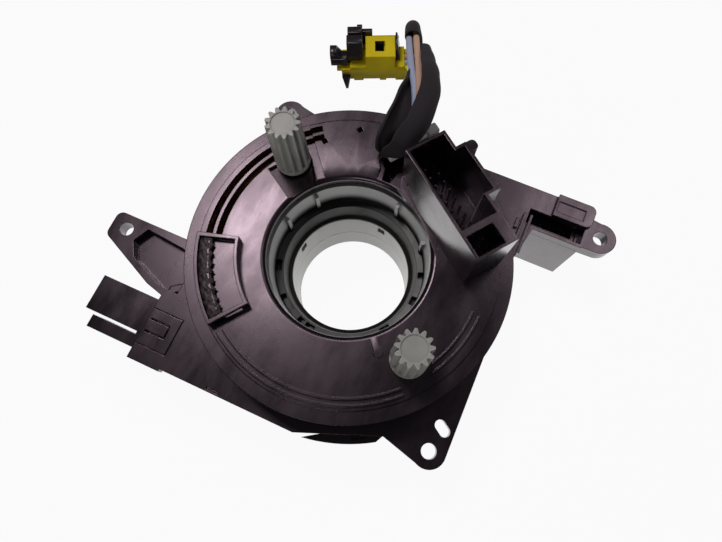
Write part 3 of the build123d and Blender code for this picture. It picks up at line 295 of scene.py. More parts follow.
def soft_plastic(name, colour, roughness, scatter, shine=0.5):
    """Pale plastic that light enters a little."""
    material, tree, shader, place = new_finish(
        name, colour, roughness, Subsurface_Weight=scatter, Subsurface_Scale=2.0 * MM,
        Subsurface_Radius=(1.0, 0.9, 0.8), Specular_IOR_Level=shine,
    )
    clouds = spread(tree, noise(tree, place, scale=180), (0.35, 0.65))
    shades = tint(tree, clouds, scaled(colour, 0.93), scaled(colour, 1.05))
    tree.links.new(shades, shader.inputs["Base Color"])
    grain = noise(tree, place, scale=2600, detail=2)
    relief(tree, shader, grain, depth=0.04, strength=0.2, before=soft_edges(tree, shader))
    return material


def ring_plastic(name, colour):
    """Pale plastic of the drive ring with a painted shade line along its groove."""
    material = soft_plastic(name, colour, 0.25, scatter=0.25, shine=1.0)
    tree, shader, place = parts_of(material)
    height = upward(tree, place)
    higher = spread(tree, height, [limit * MM for limit in RING_BANDS])
    bands = tint(tree, higher, colour, scaled(colour, 0.85))
    near = node_at(tree, "ShaderNodeMath", operation="COMPARE")
    near.inputs[1].default_value, near.inputs[2].default_value = (x * MM for x in RING_GROOVE)
    tree.links.new(height, near.inputs[0])
    # Near-black line along the groove: painted shade in the recess
    line = node_at(tree, "ShaderNodeMix", {"B": (*GROOVE_PAINTED_SHADE, 1)}, data_type="RGBA")
    tree.links.new(near.outputs[0], line.inputs["Factor"])
    tree.links.new(bands, line.inputs["A"])
    tree.links.new(line.outputs["Result"], shader.inputs["Base Color"])
    return material


def residue(name):
    """Torn grey-brown film of an old label."""
    material, tree, shader, place = new_finish(name, (0.08, 0.07, 0.07), 0.5)
    patches = spread(tree, noise(tree, place, scale=900, detail=5, rough=0.7), (0.42, 0.6))
    shades = tint(tree, patches, (0.014, 0.009, 0.012), (0.10, 0.078, 0.08))
    tree.links.new(shades, shader.inputs["Base Color"])
    torn = noise(tree, place, scale=700, detail=4, rough=0.7)
    relief(tree, shader, torn, depth=0.3, strength=0.6)
    return material


def tubing(name, colour, roughness):
    """Soft black vinyl tubing with a slow gloss change and faint draw lines."""
    material, tree, shader, place = new_finish(name, colour, roughness, IOR=2.1)
    gloss = noise(tree, place, scale=90)
    change = spread(tree, gloss, MIDDLE, (roughness - 0.05, roughness + 0.1))
    tree.links.new(change, shader.inputs["Roughness"])
    relief(tree, shader, noise(tree, place, scale=700, detail=4), depth=0.06, strength=0.2)
    return material


def insulation(name, colour):
    """Wire insulation with a slight waxy shine."""
    material, tree, shader, place = new_finish(name, colour, 0.38, Subsurface_Weight=0.1)
    clouds = noise(tree, place, scale=300, detail=2)
    shades = tint(tree, clouds, scaled(colour, 0.88), scaled(colour, 1.1))
    tree.links.new(shades, shader.inputs["Base Color"])
    return material


def tinned(name, colour=(0.62, 0.56, 0.50)):
    """Tin plated contact metal with a brushed direction."""
    material, tree, shader, place = new_finish(name, colour, 0.3, Metallic=1.0)
    streaks = noise(tree, place, scale=900, rough=0.6, stretch=(1.0, 1.0, 0.08))
    tree.links.new(spread(tree, streaks, MIDDLE, (0.22, 0.42)), shader.inputs["Roughness"])
    return material


def coated_board(name):
    """Green solder mask with faint copper areas below it."""
    material, tree, shader, place = new_finish(name, (0.02, 0.16, 0.06), 0.3)
    areas = spread(tree, noise(tree, place, scale=220, detail=0), (0.48, 0.52))
    shades = tint(tree, areas, (0.015, 0.12, 0.05), (0.03, 0.2, 0.08))
    tree.links.new(shades, shader.inputs["Base Color"])
    return material


def copper_film(name):
    """Amber film over copper conductors that run round the ribbon."""
    material, tree, shader, place = new_finish(name, (0.55, 0.28, 0.10), 0.25, Metallic=0.4)
    waves = node_at(tree, "ShaderNodeTexWave", {"Scale": 160.0}, bands_direction="Z")
    tree.links.new(place, waves.inputs["Vector"])
    tracks = spread(tree, waves.outputs["Fac"], (0.4, 0.6))
    shades = tint(tree, tracks, (0.6, 0.3, 0.1), (0.35, 0.16, 0.05))
    tree.links.new(shades, shader.inputs["Base Color"])
    return material


def make_finishes(colours):
    """All the finishes, by name. The record's slots have a finish of their own name."""
    return {
        "black_plastic": black_moulding("black_plastic", colours.black, 0.27, grain=0.1),
        "black_gloss": black_moulding("black_gloss", colours.black, 0.22, grain=0.08, ior=1.9),
        "bore_black": bore_moulding("bore_black", colours.black),
        "ring_plastic": ring_plastic("ring_plastic", colours.ring),
        "dark_pins": tinned("dark_pins", (0.16, 0.11, 0.12)),
        "residue": residue("residue"),
        "light_plastic": soft_plastic("light_plastic", colours.ring, 0.2, scatter=0.25, shine=1.0),
        "natural_plastic": soft_plastic("natural_plastic", colours.natural, 0.3, scatter=0.6),
        "tinned_metal": tinned("tinned_metal"),
        "board": coated_board("board"),
        "chip": black_moulding("chip", (0.02, 0.02, 0.022), 0.5),
        "ribbon": copper_film("ribbon"),
        "magnet": black_moulding("magnet", (0.12, 0.12, 0.13), 0.4),
        "black_rubber": tubing("black_rubber", (0.010, 0.009, 0.010), 0.24),
        "tan_wire": insulation("tan_wire", colours.tan),
        "blue_wire": insulation("blue_wire", colours.blue),
        "yellow_plastic": soft_plastic(
            "yellow_plastic", colours.plug, 0.6, scatter=0.15, shine=0.1
        ),
    }


# Nodes whose finish isn't named after their slot
OWN_FINISH = {
    "hub_sleeve": "bore_black", "drive_ring": "ring_plastic", "switch_pins": "dark_pins",
    "side_pins": "dark_pins",
}


class CLOCKSPRING_OT_finishes(bpy.types.Operator):
    """Make the finishes and give each frame node its own."""

    bl_idname = "clockspring.finishes"
    bl_label = "Finishes"

    def execute(self, context):
        made = make_finishes(context.scene.clockspring_colours)
        for part in frame["record"]["subparts"]:
            node = frame["nodes"][part["node"]]
            node.data.materials.clear()
            finish = OWN_FINISH.get(part["node"], part["material_slot"])
            node.data.materials.append(made[finish])
        return {"FINISHED"}


# ---------------------------------------------------------------- piece helpers


def paint(obj, name):
    """Give a piece one finish."""
    obj.data.materials.clear()
    obj.data.materials.append(bpy.data.materials[name])


def mount(obj, body):
    """Let a finished piece ride on its body."""
    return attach(obj, body)


def rotor_place(x, y, z):
    """Point in the row frame for a place in the rotor's frame, given in millimetres."""
    return Matrix.Rotation(ROTOR_TURN, 3, "Z") @ Vector((x, y, z)) * MM


def rotor_piece(obj):
    """Put a piece that was shaped in the rotor's frame, in millimetres, into its place."""
    obj.data.transform(Matrix.Rotation(ROTOR_TURN, 4, "Z") @ Matrix.Scale(MM, 4))
    return obj


def only(obj):
    """Make one object the selection."""
    bpy.ops.object.select_all(action="DESELECT")
    obj.select_set(True)
    bpy.context.view_layer.objects.active = obj
    return obj


def all_in_edit_mode(*steps):
    """Run mesh operators on all of the active piece."""
    bpy.ops.object.mode_set(mode="EDIT")
    bpy.ops.mesh.select_all(action="SELECT")
    for step, settings in steps:
        step(**settings)
    bpy.ops.object.mode_set(mode="OBJECT")


def applied(obj, name, kind, **settings):
    """Add a modifier to the active piece and apply it."""
    change = obj.modifiers.new(name, kind)
    for key, value in settings.items():
        setattr(change, key, value)
    if "FINISHED" not in bpy.ops.object.modifier_apply(modifier=name):
        raise RuntimeError(f"{name} could not be applied to {obj.name}")
    return obj


def rounded(obj, width, segments=2, angle=38.0):
    """Round the sharp edges of a piece, by a width in its mesh's own unit, and shade it smooth."""
    applied(
        only(obj), "edges", "BEVEL", width=width, segments=segments, limit_method="ANGLE",
        angle_limit=radians(angle), use_clamp_overlap=False, harden_normals=True,
    )
    bpy.ops.object.shade_smooth_by_angle(angle=radians(angle))
    return obj


def even_shading(obj, angle=30.0):
    """Shade rounded faces smooth and leave flat faces flat."""
    only(obj)
    bpy.ops.object.shade_smooth_by_angle(angle=radians(angle))
    return applied(obj, "weights", "WEIGHTED_NORMAL", keep_sharp=True)


def merged_copy(name, new_name):
    """Copy of a frame node with its doubles merged."""
    obj = bpy.data.objects.new(new_name, frame["nodes"][name].data.copy())
    bpy.context.scene.collection.objects.link(obj)
    only(obj)
    all_in_edit_mode((bpy.ops.mesh.remove_doubles, {"threshold": 0.002 * MM}))
    bpy.ops.mesh.customdata_custom_splitnormals_clear()
    return obj


def block(name, low, high, narrow=(0, 0, 0, 0)):
    """Box between two corners, its top drawn in at its left, right, near and far side."""
    bpy.ops.object.select_all(action="DESELECT")
    bpy.ops.mesh.primitive_cube_add(size=1)
    obj = bpy.context.object
    obj.name = name
    left, right, near, far = narrow
    for vertex in obj.data.vertices:
        shares = [side + 0.5 for side in vertex.co]
        spot = [a + (b - a) * share for a, b, share in zip(low, high, shares)]
        x, y, z = shares
        if z > 0.5:
            spot[0] += left if x < 0.5 else -right
            spot[1] += near if y < 0.5 else -far
        vertex.co = spot
    return obj


def joined(pieces, name):
    """One object from several."""
    bpy.ops.object.select_all(action="DESELECT")
    for piece in pieces:
        piece.select_set(True)
    bpy.context.view_layer.objects.active = pieces[0]
    bpy.ops.object.join()
    pieces[0].name = name
    return pieces[0]


def cut(obj, tool):
    """Take one piece's room out of another."""
    applied(
        only(obj), "cut", "BOOLEAN", operation="DIFFERENCE", object=tool, solver="EXACT",
        material_mode="TRANSFER",
    )
    bpy.data.objects.remove(tool)
    return obj


def sheet_mesh(name, rows):
    """Mesh from rows of points, each row as long as the next."""
    shape = bmesh.new()
    grid = [[shape.verts.new(point) for point in row] for row in rows]
    for first, second in zip(grid, grid[1:]):
        for number in range(len(first) - 1):
            after = number + 1
            shape.faces.new((first[number], first[after], second[after], second[number]))
    mesh = bpy.data.meshes.new(name)
    shape.to_mesh(mesh)
    shape.free()
    obj = bpy.data.objects.new(name, mesh)
    bpy.context.scene.collection.objects.link(obj)
    return obj


# ---------------------------------------------------------------- plug

# Place and turn of the plug in the rotor's frame. The plug's own frame is in millimetres.
PLUG_CENTRE = (37.3, 53.1)
PLUG_TURN = radians(-29.1)
# Low and high corner of the window in the plug's top; its cut walls take the cutter's black plastic as
# painted shade
PLUG_WINDOW = ((1.0, -1.7, 34.5), (3.7, 1.9, 42.5))
# Blocks of the plug's lock: low and high corner, and how far the top narrows at its four sides
LOCK_BLOCKS = (
    ((-7.5, -1.6, 36.9), (-2.8, 1.9, 44.0), (0.0, 0.0, 0.5, 0.0)),
    ((-7.2, 2.4, 36.9), (-3.0, 5.2, 44.2), (0.0, 0.0, 0.0, 0.5)),
    ((-7.3, 1.5, 37.1), (-3.1, 2.8, 43.3), (0.0, 0.0, 0.0, 0.0)),
    ((-4.4, 4.8, 36.9), (-2.8, 5.9, 43.9), (0.0, 0.0, 0.0, 0.2)),
    ((-2.9, 4.2, 35.6), (0.2, 5.5, 42.4), (0.0, 0.0, 0.0, 0.0)),
    ((0.0, 3.9, 35.0), (8.2, 5.0, 40.0), (0.0, 0.0, 0.0, 0.0)),
    ((7.15, -1.6, 36.9), (8.6, 4.6, 42.0), (0.0, 0.9, 1.6, 0.2)),
    ((-12.5, -2.4, 35.7), (-7.4, 1.0, 38.4), (0.0, 0.0, 0.0, 0.0)),
    ((-12.6, -2.2, 38.0), (-9.0, 1.3, 40.5), (0.0, 1.6, 0.6, 0.0)),
    ((-8.75, -0.95, 30.0), (-6.85, 0.95, 38.0), (0.0, 0.0, 0.0, 0.0)),
    ((-8.3, -4.0, 26.4), (-7.5, -3.2, 32.4), (-1.0, -0.9, 0.0, -2.2)),
)
LOCK_ROUNDING = 0.18


def plug_place(obj):
    """Put a piece that was shaped in the plug's own frame into its place on the rotor."""
    turn = Matrix.Rotation(PLUG_TURN, 4, "Z")
    obj.data.transform(Matrix.Translation((*PLUG_CENTRE, 0)) @ turn)
    return rotor_piece(obj)


class CLOCKSPRING_OT_plug(bpy.types.Operator):
    """Cut the window into the yellow plug, its walls painted black as painted shade, and even its
    shading.
    """

    bl_idname = "clockspring.plug"
    bl_label = "Plug"

    def execute(self, context):
        body = merged_copy("plug_housing", "plug_body")
        window = plug_place(block("window", *PLUG_WINDOW))
        # The cutter's black plastic passes to the window's cut walls: painted shade inside the yellow
        # plug
        paint(window, "black_plastic")
        cut(body, window)
        even_shading(body)
        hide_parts("plug_housing")
        mount(body, "rotor")
        return {"FINISHED"}


class CLOCKSPRING_OT_lock(bpy.types.Operator):
    """Shape the black lock that slides on the plug."""

    bl_idname = "clockspring.lock"
    bl_label = "Plug lock"

    def execute(self, context):
        blocks = [block("lock_block", *corners) for corners in LOCK_BLOCKS]
        for item in blocks:
            rounded(item, LOCK_ROUNDING, angle=30.0)
        clip = plug_place(joined(blocks, "plug_clip"))
        paint(clip, "black_gloss")
        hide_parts("plug_lock")
        mount(clip, "lock")
        return {"FINISHED"}


# ---------------------------------------------------------------- airbag lead

# Control points of the lead's lines in the rotor's frame, in millimetres
SLEEVE_ROUTE = (
    (24.5, 18.4, 41.2), (23.9, 18.8, 45.4), (26.0, 19.5, 50.2), (32.0, 22.2, 52.4),
    (38.4, 27.6, 51.8), (43.6, 34.6, 48.6), (48.6, 41.6, 44.4),
)
WIRE_ROUTES = {
    "tan_wire": (
        (34.9, 23.6, 53.0), (38.4, 29.0, 51.8), (42.3, 35.6, 48.8), (45.6, 41.4, 46.2),
        (48.6, 46.6, 43.9), (50.4, 49.6, 42.6),
    ),
    "blue_wire": (
        (33.6, 23.2, 51.8), (37.0, 28.9, 51.2), (39.4, 34.5, 49.3), (42.5, 40.1, 47.0),
        (45.4, 45.4, 44.6), (47.6, 49.0, 42.8),
    ),
}
END_SLEEVE_ROUTE = (
    (48.4, 48.4, 43.6), (50.4, 51.6, 42.8), (52.4, 54.2, 38.6), (51.8, 50.8, 35.8),
    (49.2, 47.6, 35.1),
)
# Ends of the wires between the short tubing and the plug
TAIL_ROUTES = {
    "tan_tail": ((49.8, 48.6, 35.6), (48.4, 48.2, 35.4), (46.4, 48.8, 35.1), (45.1, 49.6, 35.1)),
    "blue_tail": ((49.0, 46.8, 35.2), (47.6, 46.4, 35.1), (45.6, 46.8, 35.1), (44.1, 47.7, 35.1)),
}
# Slit tubing: share of the route, then across and up of seven points from the far lip round to
# the near lip, in millimetres
SLEEVE_SECTIONS = (
    (0.00, (-3.4, -1.0, -2.9, -2.4, -0.4, -3.2, 2.6, -2.6, 3.6, -1.0, 0.8, 0.4, -3.0, -0.4)),
    (0.10, (-4.3, -0.4, -3.8, -2.4, -0.8, -3.3, 2.8, -2.8, 4.6, -0.2, 2.2, 2.5, -3.0, 1.0)),
    (0.20, (-4.6, 0.4, -4.3, -2.2, -1.0, -3.3, 3.2, -3.0, 5.4, -0.4, 3.4, 2.4, -1.4, 2.9)),
    (0.32, (-5.0, 1.0, -4.7, -2.0, -1.0, -3.4, 3.6, -3.0, 5.8, -0.2, 4.0, 2.6, -0.1, 3.3)),
    (0.50, (-5.3, 1.0, -4.8, -2.0, -1.0, -3.4, 3.2, -2.8, 5.2, 0.2, 3.6, 2.6, -0.1, 3.3)),
    (0.68, (-4.2, 0.8, -3.7, -2.0, -0.6, -3.2, 2.8, -2.4, 4.0, 0.3, 2.6, 2.6, -0.7, 3.0)),
    (0.84, (-3.0, 0.4, -2.6, -1.8, -0.4, -2.8, 2.0, -2.0, 2.8, 0.0, 1.6, 2.2, -1.3, 2.4)),
    (1.00, (-2.3, 0.0, -1.9, -1.6, -0.6, -2.3, 0.8, -1.9, 1.5, -0.2, 0.7, 1.8, -1.2, 2.1)),
)
# Direction across the slit tubing in the rotor's frame
SLEEVE_ACROSS = (0.874, -0.486, 0.0)
# Faces between the two lips of the slit tubing
SECTION_STEPS = 24
# Walls of the two tubings, in millimetres, and the part of the first that rounds its lips
SLEEVE_WALL = 0.85
END_SLEEVE_WALL = 0.45
LIP_ROUNDING = 0.35


def spline_curve(name, points, thickness=0.0, capped=True):
    """NURBS line through the rotor's frame with these control points, in millimetres."""
    curve = bpy.data.curves.new(name, "CURVE")
    curve.dimensions = "3D"
    curve.resolution_u = 12
    spline = curve.splines.new("NURBS")
    spline.points.add(len(points) - 1)
    for item, point in zip(spline.points, points):
        item.co = (*rotor_place(*point), 1)
    spline.order_u = 3
    spline.use_endpoint_u = True
    curve.bevel_depth = thickness / 2
    curve.bevel_resolution = 8
    curve.use_fill_caps = capped
    obj = bpy.data.objects.new(name, curve)
    bpy.context.scene.collection.objects.link(obj)
    return obj


def line_points(route):
    """Points along the line that follows a route."""
    curve = spline_curve("line", route)
    mesh = bpy.data.meshes.new_from_object(curve)
    points = [vertex.co.copy() for vertex in mesh.vertices]
    bpy.data.meshes.remove(mesh)
    bpy.data.objects.remove(curve)
    return points


def line_length(points):
    """Length of a row of points."""
    return sum((b - a).length for a, b in zip(points, points[1:]))


def along(table, share):
    """Values of a table of (share, values) at a share, blended smoothly between its rows."""
    for (low, first), (high, second) in zip(table, table[1:]):
        if share <= high:
            t = (share - low) / (high - low)
            t = t * t * (3 - 2 * t)
            return [a + (b - a) * t for a, b in zip(first, second)]
    return list(table[-1][1])


def smooth_row(corners, steps):
    """Points on a smooth line through the corners, from the first of them to the last."""
    knots = [corners[0], *corners, corners[-1]]
    spans = len(corners) - 1
    row = []
    for step in range(steps + 1):
        place = min(step / steps * spans, spans - 1e-6)
        number = int(place)
        t = place - number
        a, b, c, d = knots[number:number + 4]
        row.append(
            0.5
            * (
                2 * b
                + (c - a) * t
                + (2 * a - 5 * b + 4 * c - d) * t**2
                + (3 * b - a - 3 * c + d) * t**3
            )
        )
    return row


def section_rows(line):
    """Rows of points across the slit tubing, one for each point of its line."""
    total = line_length(line)
    sideways = (Matrix.Rotation(ROTOR_TURN, 3, "Z") @ Vector(SLEEVE_ACROSS)).normalized()
    last = len(line) - 1
    rows = []
    run = 0.0
    for number, point in enumerate(line):
        if number:
            run += (point - line[number - 1]).length
        ahead = (line[min(number + 1, last)] - line[max(number - 1, 0)]).normalized()
        side = (sideways - ahead * sideways.dot(ahead)).normalized()
        above = side.cross(ahead)
        values = along(SLEEVE_SECTIONS, run / total)
        corners = [
            point + (side * across + above * up) * MM
            for across, up in zip(values[::2], values[1::2])
        ]
        rows.append(smooth_row(corners, SECTION_STEPS))
    return rows


def slit_tube(name, line):
    """Opened tubing that follows a line, with its wall and rounded lips."""
    obj = only(sheet_mesh(name, section_rows(line)))
    all_in_edit_mode((bpy.ops.mesh.normals_make_consistent, {"inside": False}))
    applied(obj, "wall", "SOLIDIFY", thickness=SLEEVE_WALL * MM, offset=0)
    rounded(obj, SLEEVE_WALL * LIP_ROUNDING * MM, 3, 50)
    applied(obj, "soft", "SUBSURF", levels=1, render_levels=1)
    bpy.ops.object.shade_smooth()
    return obj


def round_wire(name, route, thickness, capped=True):
    """Round wire along a route."""
    curve = spline_curve(name + "_line", route, thickness, capped)
    obj = bpy.data.objects.new(name, bpy.data.meshes.new_from_object(curve))
    bpy.context.scene.collection.objects.link(obj)
    bpy.data.objects.remove(curve)
    only(obj)
    all_in_edit_mode(
        (bpy.ops.mesh.remove_doubles, {"threshold": 0.01 * MM}),
        (bpy.ops.mesh.normals_make_consistent, {"inside": False}),
    )
    bpy.ops.object.shade_smooth_by_angle(angle=radians(40))
    return obj


def open_tube(name, route, thickness):
    """Round tubing along a route with open ends."""
    obj = round_wire(name, route, thickness, capped=False)
    applied(obj, "wall", "SOLIDIFY", thickness=END_SLEEVE_WALL * MM, offset=-1)
    bpy.ops.object.shade_smooth_by_angle(angle=radians(40))
    return obj


def wire_piece(name, route, thickness):
    """A stretch of the tan or the blue wire in its place on the rotor."""
    colour = name.split("_")[0]
    wire = round_wire(name, route, thickness)
    paint(wire, colour + "_wire")
    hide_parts("lead_wire_" + colour)
    return mount(wire, "rotor")


class CLOCKSPRING_OT_tubing(bpy.types.Operator):
    """Lay the slit tubing of the airbag lead."""

    bl_idname = "clockspring.tubing"
    bl_label = "Lead tubing"

    def execute(self, context):
        line = line_points(SLEEVE_ROUTE)
        sleeve = slit_tube("lead_tubing", line)
        paint(sleeve, "black_rubber")
        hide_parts("lead_sleeve")
        mount(sleeve, "rotor")
        return {"FINISHED"}


class CLOCKSPRING_OT_end_sleeve(bpy.types.Operator):
    """Lay the short tubing that turns the wires into the plug."""

    bl_idname = "clockspring.end_sleeve"
    bl_label = "Tubing at the plug"

    def execute(self, context):
        sizes = context.scene.clockspring_sizes
        end_sleeve = open_tube("plug_tubing", END_SLEEVE_ROUTE, sizes.end_sleeve_diameter)
        paint(end_sleeve, "black_rubber")
        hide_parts("lead_end_sleeve")
        mount(end_sleeve, "rotor")
        return {"FINISHED"}


class CLOCKSPRING_OT_wires(bpy.types.Operator):
    """Lay the two wires and their ends at the plug."""

    bl_idname = "clockspring.wires"
    bl_label = "Lead wires"

    def execute(self, context):
        thickness = context.scene.clockspring_sizes.wire_diameter
        tails = [wire_piece(name, route, thickness) for name, route in TAIL_ROUTES.items()]
        carried = [bpy.data.objects[name] for name in ("plug_tubing", "plug_body", "plug_clip")]
        carried.append(frame["nodes"]["plug_contacts"])
        for name, route in WIRE_ROUTES.items():
            wire = wire_piece(name, route, thickness)
            line = line_points(route)
        return {"FINISHED"}


# ---------------------------------------------------------------- rotor face

# Height of the rotor's face, and inner radius and rounding of its shoulder round the bore, first
# in the frame and then after it is drawn in, in millimetres
FACE_HEIGHT = 40.0
FRAME_SHOULDER = (23.2, 3.6)
DRAWN_SHOULDER = (22.1, 1.4)
# How far out, down and up of the shoulder its points are still taken, in millimetres
SHOULDER_REACH = (0.05, 0.3, 0.01)
# Blobs and bar of the lead's guide, pale as a painted highlight of the tubing's bend: low and high
# corner in the rotor's frame, in millimetres
GUIDE_BLOBS = (
    ((22.9, 17.1, 41.0), (27.0, 19.9, 43.4)),
    ((36.2, 18.2, 40.6), (39.6, 21.2, 43.2)),
    ((25.0, 18.7, 40.8), (38.0, 20.1, 42.2)),
)
BLOB_ROUNDING = 0.5
# Film of the old label: inner and outer radius, first and last angle in degrees, height, rise of
# its middle and thickness, in millimetres
FILM_RADII = (35.7, 39.3)
FILM_ANGLES = (145.0, 178.2)
FILM_HEIGHT = 42.2
FILM_RISE = 0.7
FILM_THICKNESS = 0.25
# Faces of the film round the rotor and across
FILM_FACES = (60, 12)
# Waves of the film's torn inner edge and of its creases: height in millimetres, radians a face
FILM_TEARS = ((0.25, 0.9), (0.2, 2.3))
FILM_CREASE = (0.12, 0.7)


def tight_shoulder(obj):
    """Draw the rounded shoulder round the bore in to a smaller radius."""
    inner, rounding = (size * MM for size in FRAME_SHOULDER)
    drawn_inner, drawn_rounding = (size * MM for size in DRAWN_SHOULDER)
    out, down, up = (size * MM for size in SHOULDER_REACH)
    face = FACE_HEIGHT * MM
    share = drawn_rounding / rounding
    for vertex in obj.data.vertices:
        radius = vertex.co.xy.length
        if radius < inner + rounding + out and face - rounding - down < vertex.co.z < face + up:
            vertex.co.xy *= (drawn_inner + (radius - inner) * share) / radius
            vertex.co.z = face - (face - vertex.co.z) * share
    return obj


def film_rows():
    """Rows of points over the film of the old label."""
    inner, outer = FILM_RADII
    first, last = FILM_ANGLES
    steps, parts = FILM_FACES
    crease, rate = FILM_CREASE
    rows = []
    for step in range(steps + 1):
        angle = radians(first + (last - first) * step / steps)
        tear = sum(size * sin(step * turn) for size, turn in FILM_TEARS)
        row = []
        for part in range(parts + 1):
            share = part / parts
            radius = inner + tear * (1 - share) + (outer - inner) * share
            height = FILM_HEIGHT + FILM_RISE * sin(pi * share) + crease * sin(step * rate + part)
            row.append(rotor_place(radius * cos(angle), radius * sin(angle), height))
        rows.append(row)
    return rows


class CLOCKSPRING_OT_cover(bpy.types.Operator):
    """Copy the rotor cover with a tighter shoulder at the bore."""

    bl_idname = "clockspring.cover"
    bl_label = "Rotor cover"

    def execute(self, context):
        cover = tight_shoulder(merged_copy("rotor_cover", "face_cover"))
        even_shading(cover)
        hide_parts("rotor_cover")
        mount(cover, "rotor")
        return {"FINISHED"}


class CLOCKSPRING_OT_guide(bpy.types.Operator):
    """Shape the soft blobs and the bar that guide the lead out of the rotor, in a pale finish that is
    a painted highlight of the tubing's bend.
    """

    bl_idname = "clockspring.guide"
    bl_label = "Lead guide"

    def execute(self, context):
        blobs = [block("blob", *corners) for corners in GUIDE_BLOBS]
        for item in blobs:
            rounded(item, BLOB_ROUNDING, 4, 30)
        guide = rotor_piece(joined(blobs, "lead_guide"))
        # Pale finish on the guide: painted highlight of the tubing's bend where the lead leaves the
        # rotor
        paint(guide, "light_plastic")
        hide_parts("lead_grommet")
        mount(guide, "rotor")
        return {"FINISHED"}


class CLOCKSPRING_OT_film(bpy.types.Operator):
    """Lay the torn film of the old label into its box."""

    bl_idname = "clockspring.film"
    bl_label = "Label film"

    def execute(self, context):
        film = only(sheet_mesh("label_film", film_rows()))
        applied(film, "thickness", "SOLIDIFY", thickness=FILM_THICKNESS * MM, offset=-1)
        bpy.ops.object.shade_smooth()
        paint(film, "residue")
        mount(film, "rotor")
        return {"FINISHED"}


# ---------------------------------------------------------------- stage

# Place of the camera and its turn in degrees
CAMERA_PLACE = (0.0231, -0.0373, 0.1737)
CAMERA_TURN = (16.14, 1.03, 24.0)
# Side of the floor, its colour to the camera and how much of that colour hides its shade
FLOOR_SIDE = 6.0
FLOOR_WHITE = (1.0, 0.998, 1.0)
FLOOR_SHARE = 0.94
# Soft boxes: place, width and height, lean in degrees and share of the key light's power
LAMP_TONE = (1.0, 0.90, 0.94)
LAMPS = {
    "left box": ((-0.27, 0.19, 0.75), (0.18, 0.20), 0.0, 1.05),
    "back box": ((0.24, 0.44, 0.75), (0.24, 0.24), 0.0, 0.38),
    "front box": ((0.05, -0.75, 0.30), (0.40, 0.20), 65.0, 0.5),
}
# Colour and strength of the light from all round
SURROUND_COLOUR = (0.95, 0.93, 1.0)
SURROUND_STRENGTH = 0.05


def bright_background(tree, shader, colour, share):
    """Show a surface near its own colour to the camera and in reflections, with some shade."""
    rays = node_at(tree, "ShaderNodeLightPath").outputs
    seen = rays["Is Camera Ray"]
    for ray in ("Is Glossy Ray", "Is Transmission Ray"):
        either = node_at(tree, "ShaderNodeMath", operation="MAXIMUM")
        tree.links.new(seen, either.inputs[0])
        tree.links.new(rays[ray], either.inputs[1])
        seen = either.outputs[0]
    part = node_at(tree, "ShaderNodeMath", operation="MULTIPLY")
    part.inputs[1].default_value = share
    tree.links.new(seen, part.inputs[0])
    glow = node_at(tree, "ShaderNodeEmission", {"Color": (*colour, 1), "Strength": 1.0})
    mix = node_at(tree, "ShaderNodeMixShader")
    tree.links.new(part.outputs[0], mix.inputs["Fac"])
    tree.links.new(shader, mix.inputs[1])
    tree.links.new(glow.outputs[0], mix.inputs[2])
    return mix.outputs[0]


def make_floor(colour):
    """Pale level floor under the part."""
    bpy.ops.object.select_all(action="DESELECT")
    bpy.ops.mesh.primitive_plane_add(size=FLOOR_SIDE, location=(0, 0, 0))
    floor = bpy.context.object
    floor.name = "floor"
    material, tree, shader, _ = new_finish("floor", colour, 0.6)
    shown = bright_background(tree, shader.outputs["BSDF"], FLOOR_WHITE, FLOOR_SHARE)
    tree.links.new(shown, tree.nodes["Material Output"].inputs["Surface"])
    floor.data.materials.append(material)


def make_lights(power):
    """Two soft boxes above and behind the part, and one in front that shows its near walls."""
    for name, (place, size, lean, share) in LAMPS.items():
        lamp = bpy.data.lights.new(name, "AREA")
        lamp.shape = "RECTANGLE"
        lamp.size, lamp.size_y = size
        lamp.energy = power * share
        lamp.color = LAMP_TONE
        obj = bpy.data.objects.new(name, lamp)
        bpy.context.scene.collection.objects.link(obj)
        obj.location = place
        obj.rotation_euler.x = radians(lean)


def make_world():
    """White surroundings for the camera and faint light for the part."""
    world = bpy.data.worlds.new("surroundings")
    bpy.context.scene.world = world
    world.use_nodes = True
    tree = world.node_tree
    light = tree.nodes["Background"]
    light.inputs["Color"].default_value = (*SURROUND_COLOUR, 1)
    light.inputs["Strength"].default_value = SURROUND_STRENGTH
    white = node_at(tree, "ShaderNodeBackground", {"Color": (1, 1, 1, 1), "Strength": 1.0})
    path = node_at(tree, "ShaderNodeLightPath")
    mix = node_at(tree, "ShaderNodeMixShader")
    tree.links.new(path.outputs["Is Camera Ray"], mix.inputs["Fac"])
    tree.links.new(light.outputs[0], mix.inputs[1])
    tree.links.new(white.outputs[0], mix.inputs[2])
    tree.links.new(mix.outputs[0], tree.nodes["World Output"].inputs["Surface"])


def make_camera(lens):
    """Camera above the part, a little in front of it."""
    camera = bpy.data.objects.new("camera", bpy.data.cameras.new("camera"))
    bpy.context.scene.collection.objects.link(camera)
    camera.data.lens = lens
    camera.data.clip_start = 0.005
    camera.location = CAMERA_PLACE
    camera.rotation_euler = [radians(turn) for turn in CAMERA_TURN]
    bpy.context.scene.camera = camera


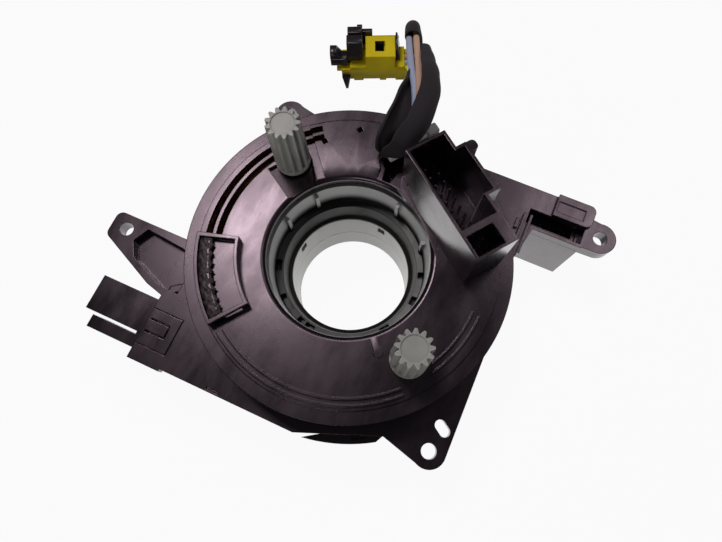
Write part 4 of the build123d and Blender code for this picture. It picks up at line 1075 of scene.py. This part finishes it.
class CLOCKSPRING_OT_stage(bpy.types.Operator):
    """Set up the floor, the lights and the camera."""

    bl_idname = "clockspring.stage"
    bl_label = "Stage"

    def execute(self, context):
        settings = context.scene.clockspring_stage
        make_floor(settings.floor)
        make_lights(settings.key)
        make_world()
        make_camera(settings.lens)
        context.scene.view_settings.view_transform = "Standard"
        return {"FINISHED"}


# ---------------------------------------------------------------- panel and registration


class CLOCKSPRING_PT_panel(bpy.types.Panel):
    """Lists the pieces and the settings."""

    bl_idname = "CLOCKSPRING_PT_panel"
    bl_label = "Clock spring"
    bl_space_type = "VIEW_3D"
    bl_region_type = "UI"
    bl_category = "Clock spring"

    def draw(self, context):
        for step in STEPS:
            self.layout.operator(step.bl_idname)
        for name, group in GROUPS.items():
            box = self.layout.box()
            for setting in group.__annotations__:
                box.prop(getattr(context.scene, name), setting)


GROUPS = {
    "clockspring_colours": ClockSpringColours,
    "clockspring_sizes": ClockSpringSizes,
    "clockspring_stage": ClockSpringStage,
}
STEPS = (
    CLOCKSPRING_OT_stage,
    CLOCKSPRING_OT_finishes,
    CLOCKSPRING_OT_plug,
    CLOCKSPRING_OT_lock,
    CLOCKSPRING_OT_tubing,
    CLOCKSPRING_OT_end_sleeve,
    CLOCKSPRING_OT_wires,
    CLOCKSPRING_OT_cover,
    CLOCKSPRING_OT_guide,
    CLOCKSPRING_OT_film,
)
CLASSES = (*GROUPS.values(), *STEPS, CLOCKSPRING_PT_panel)


def register():
    """Add the classes and the settings to Blender."""
    for item in CLASSES:
        bpy.utils.register_class(item)
    for name, group in GROUPS.items():
        setattr(bpy.types.Scene, name, bpy.props.PointerProperty(type=group))


def unregister():
    """Take the classes and the settings away again."""
    for name in GROUPS:
        delattr(bpy.types.Scene, name)
    for item in reversed(CLASSES):
        bpy.utils.unregister_class(item)


def main():
    """Build everything in order."""
    register()
    for step in STEPS:
        group, name = step.bl_idname.split(".")
        getattr(getattr(bpy.ops, group), name)()


if __name__ == "__main__":
    main()
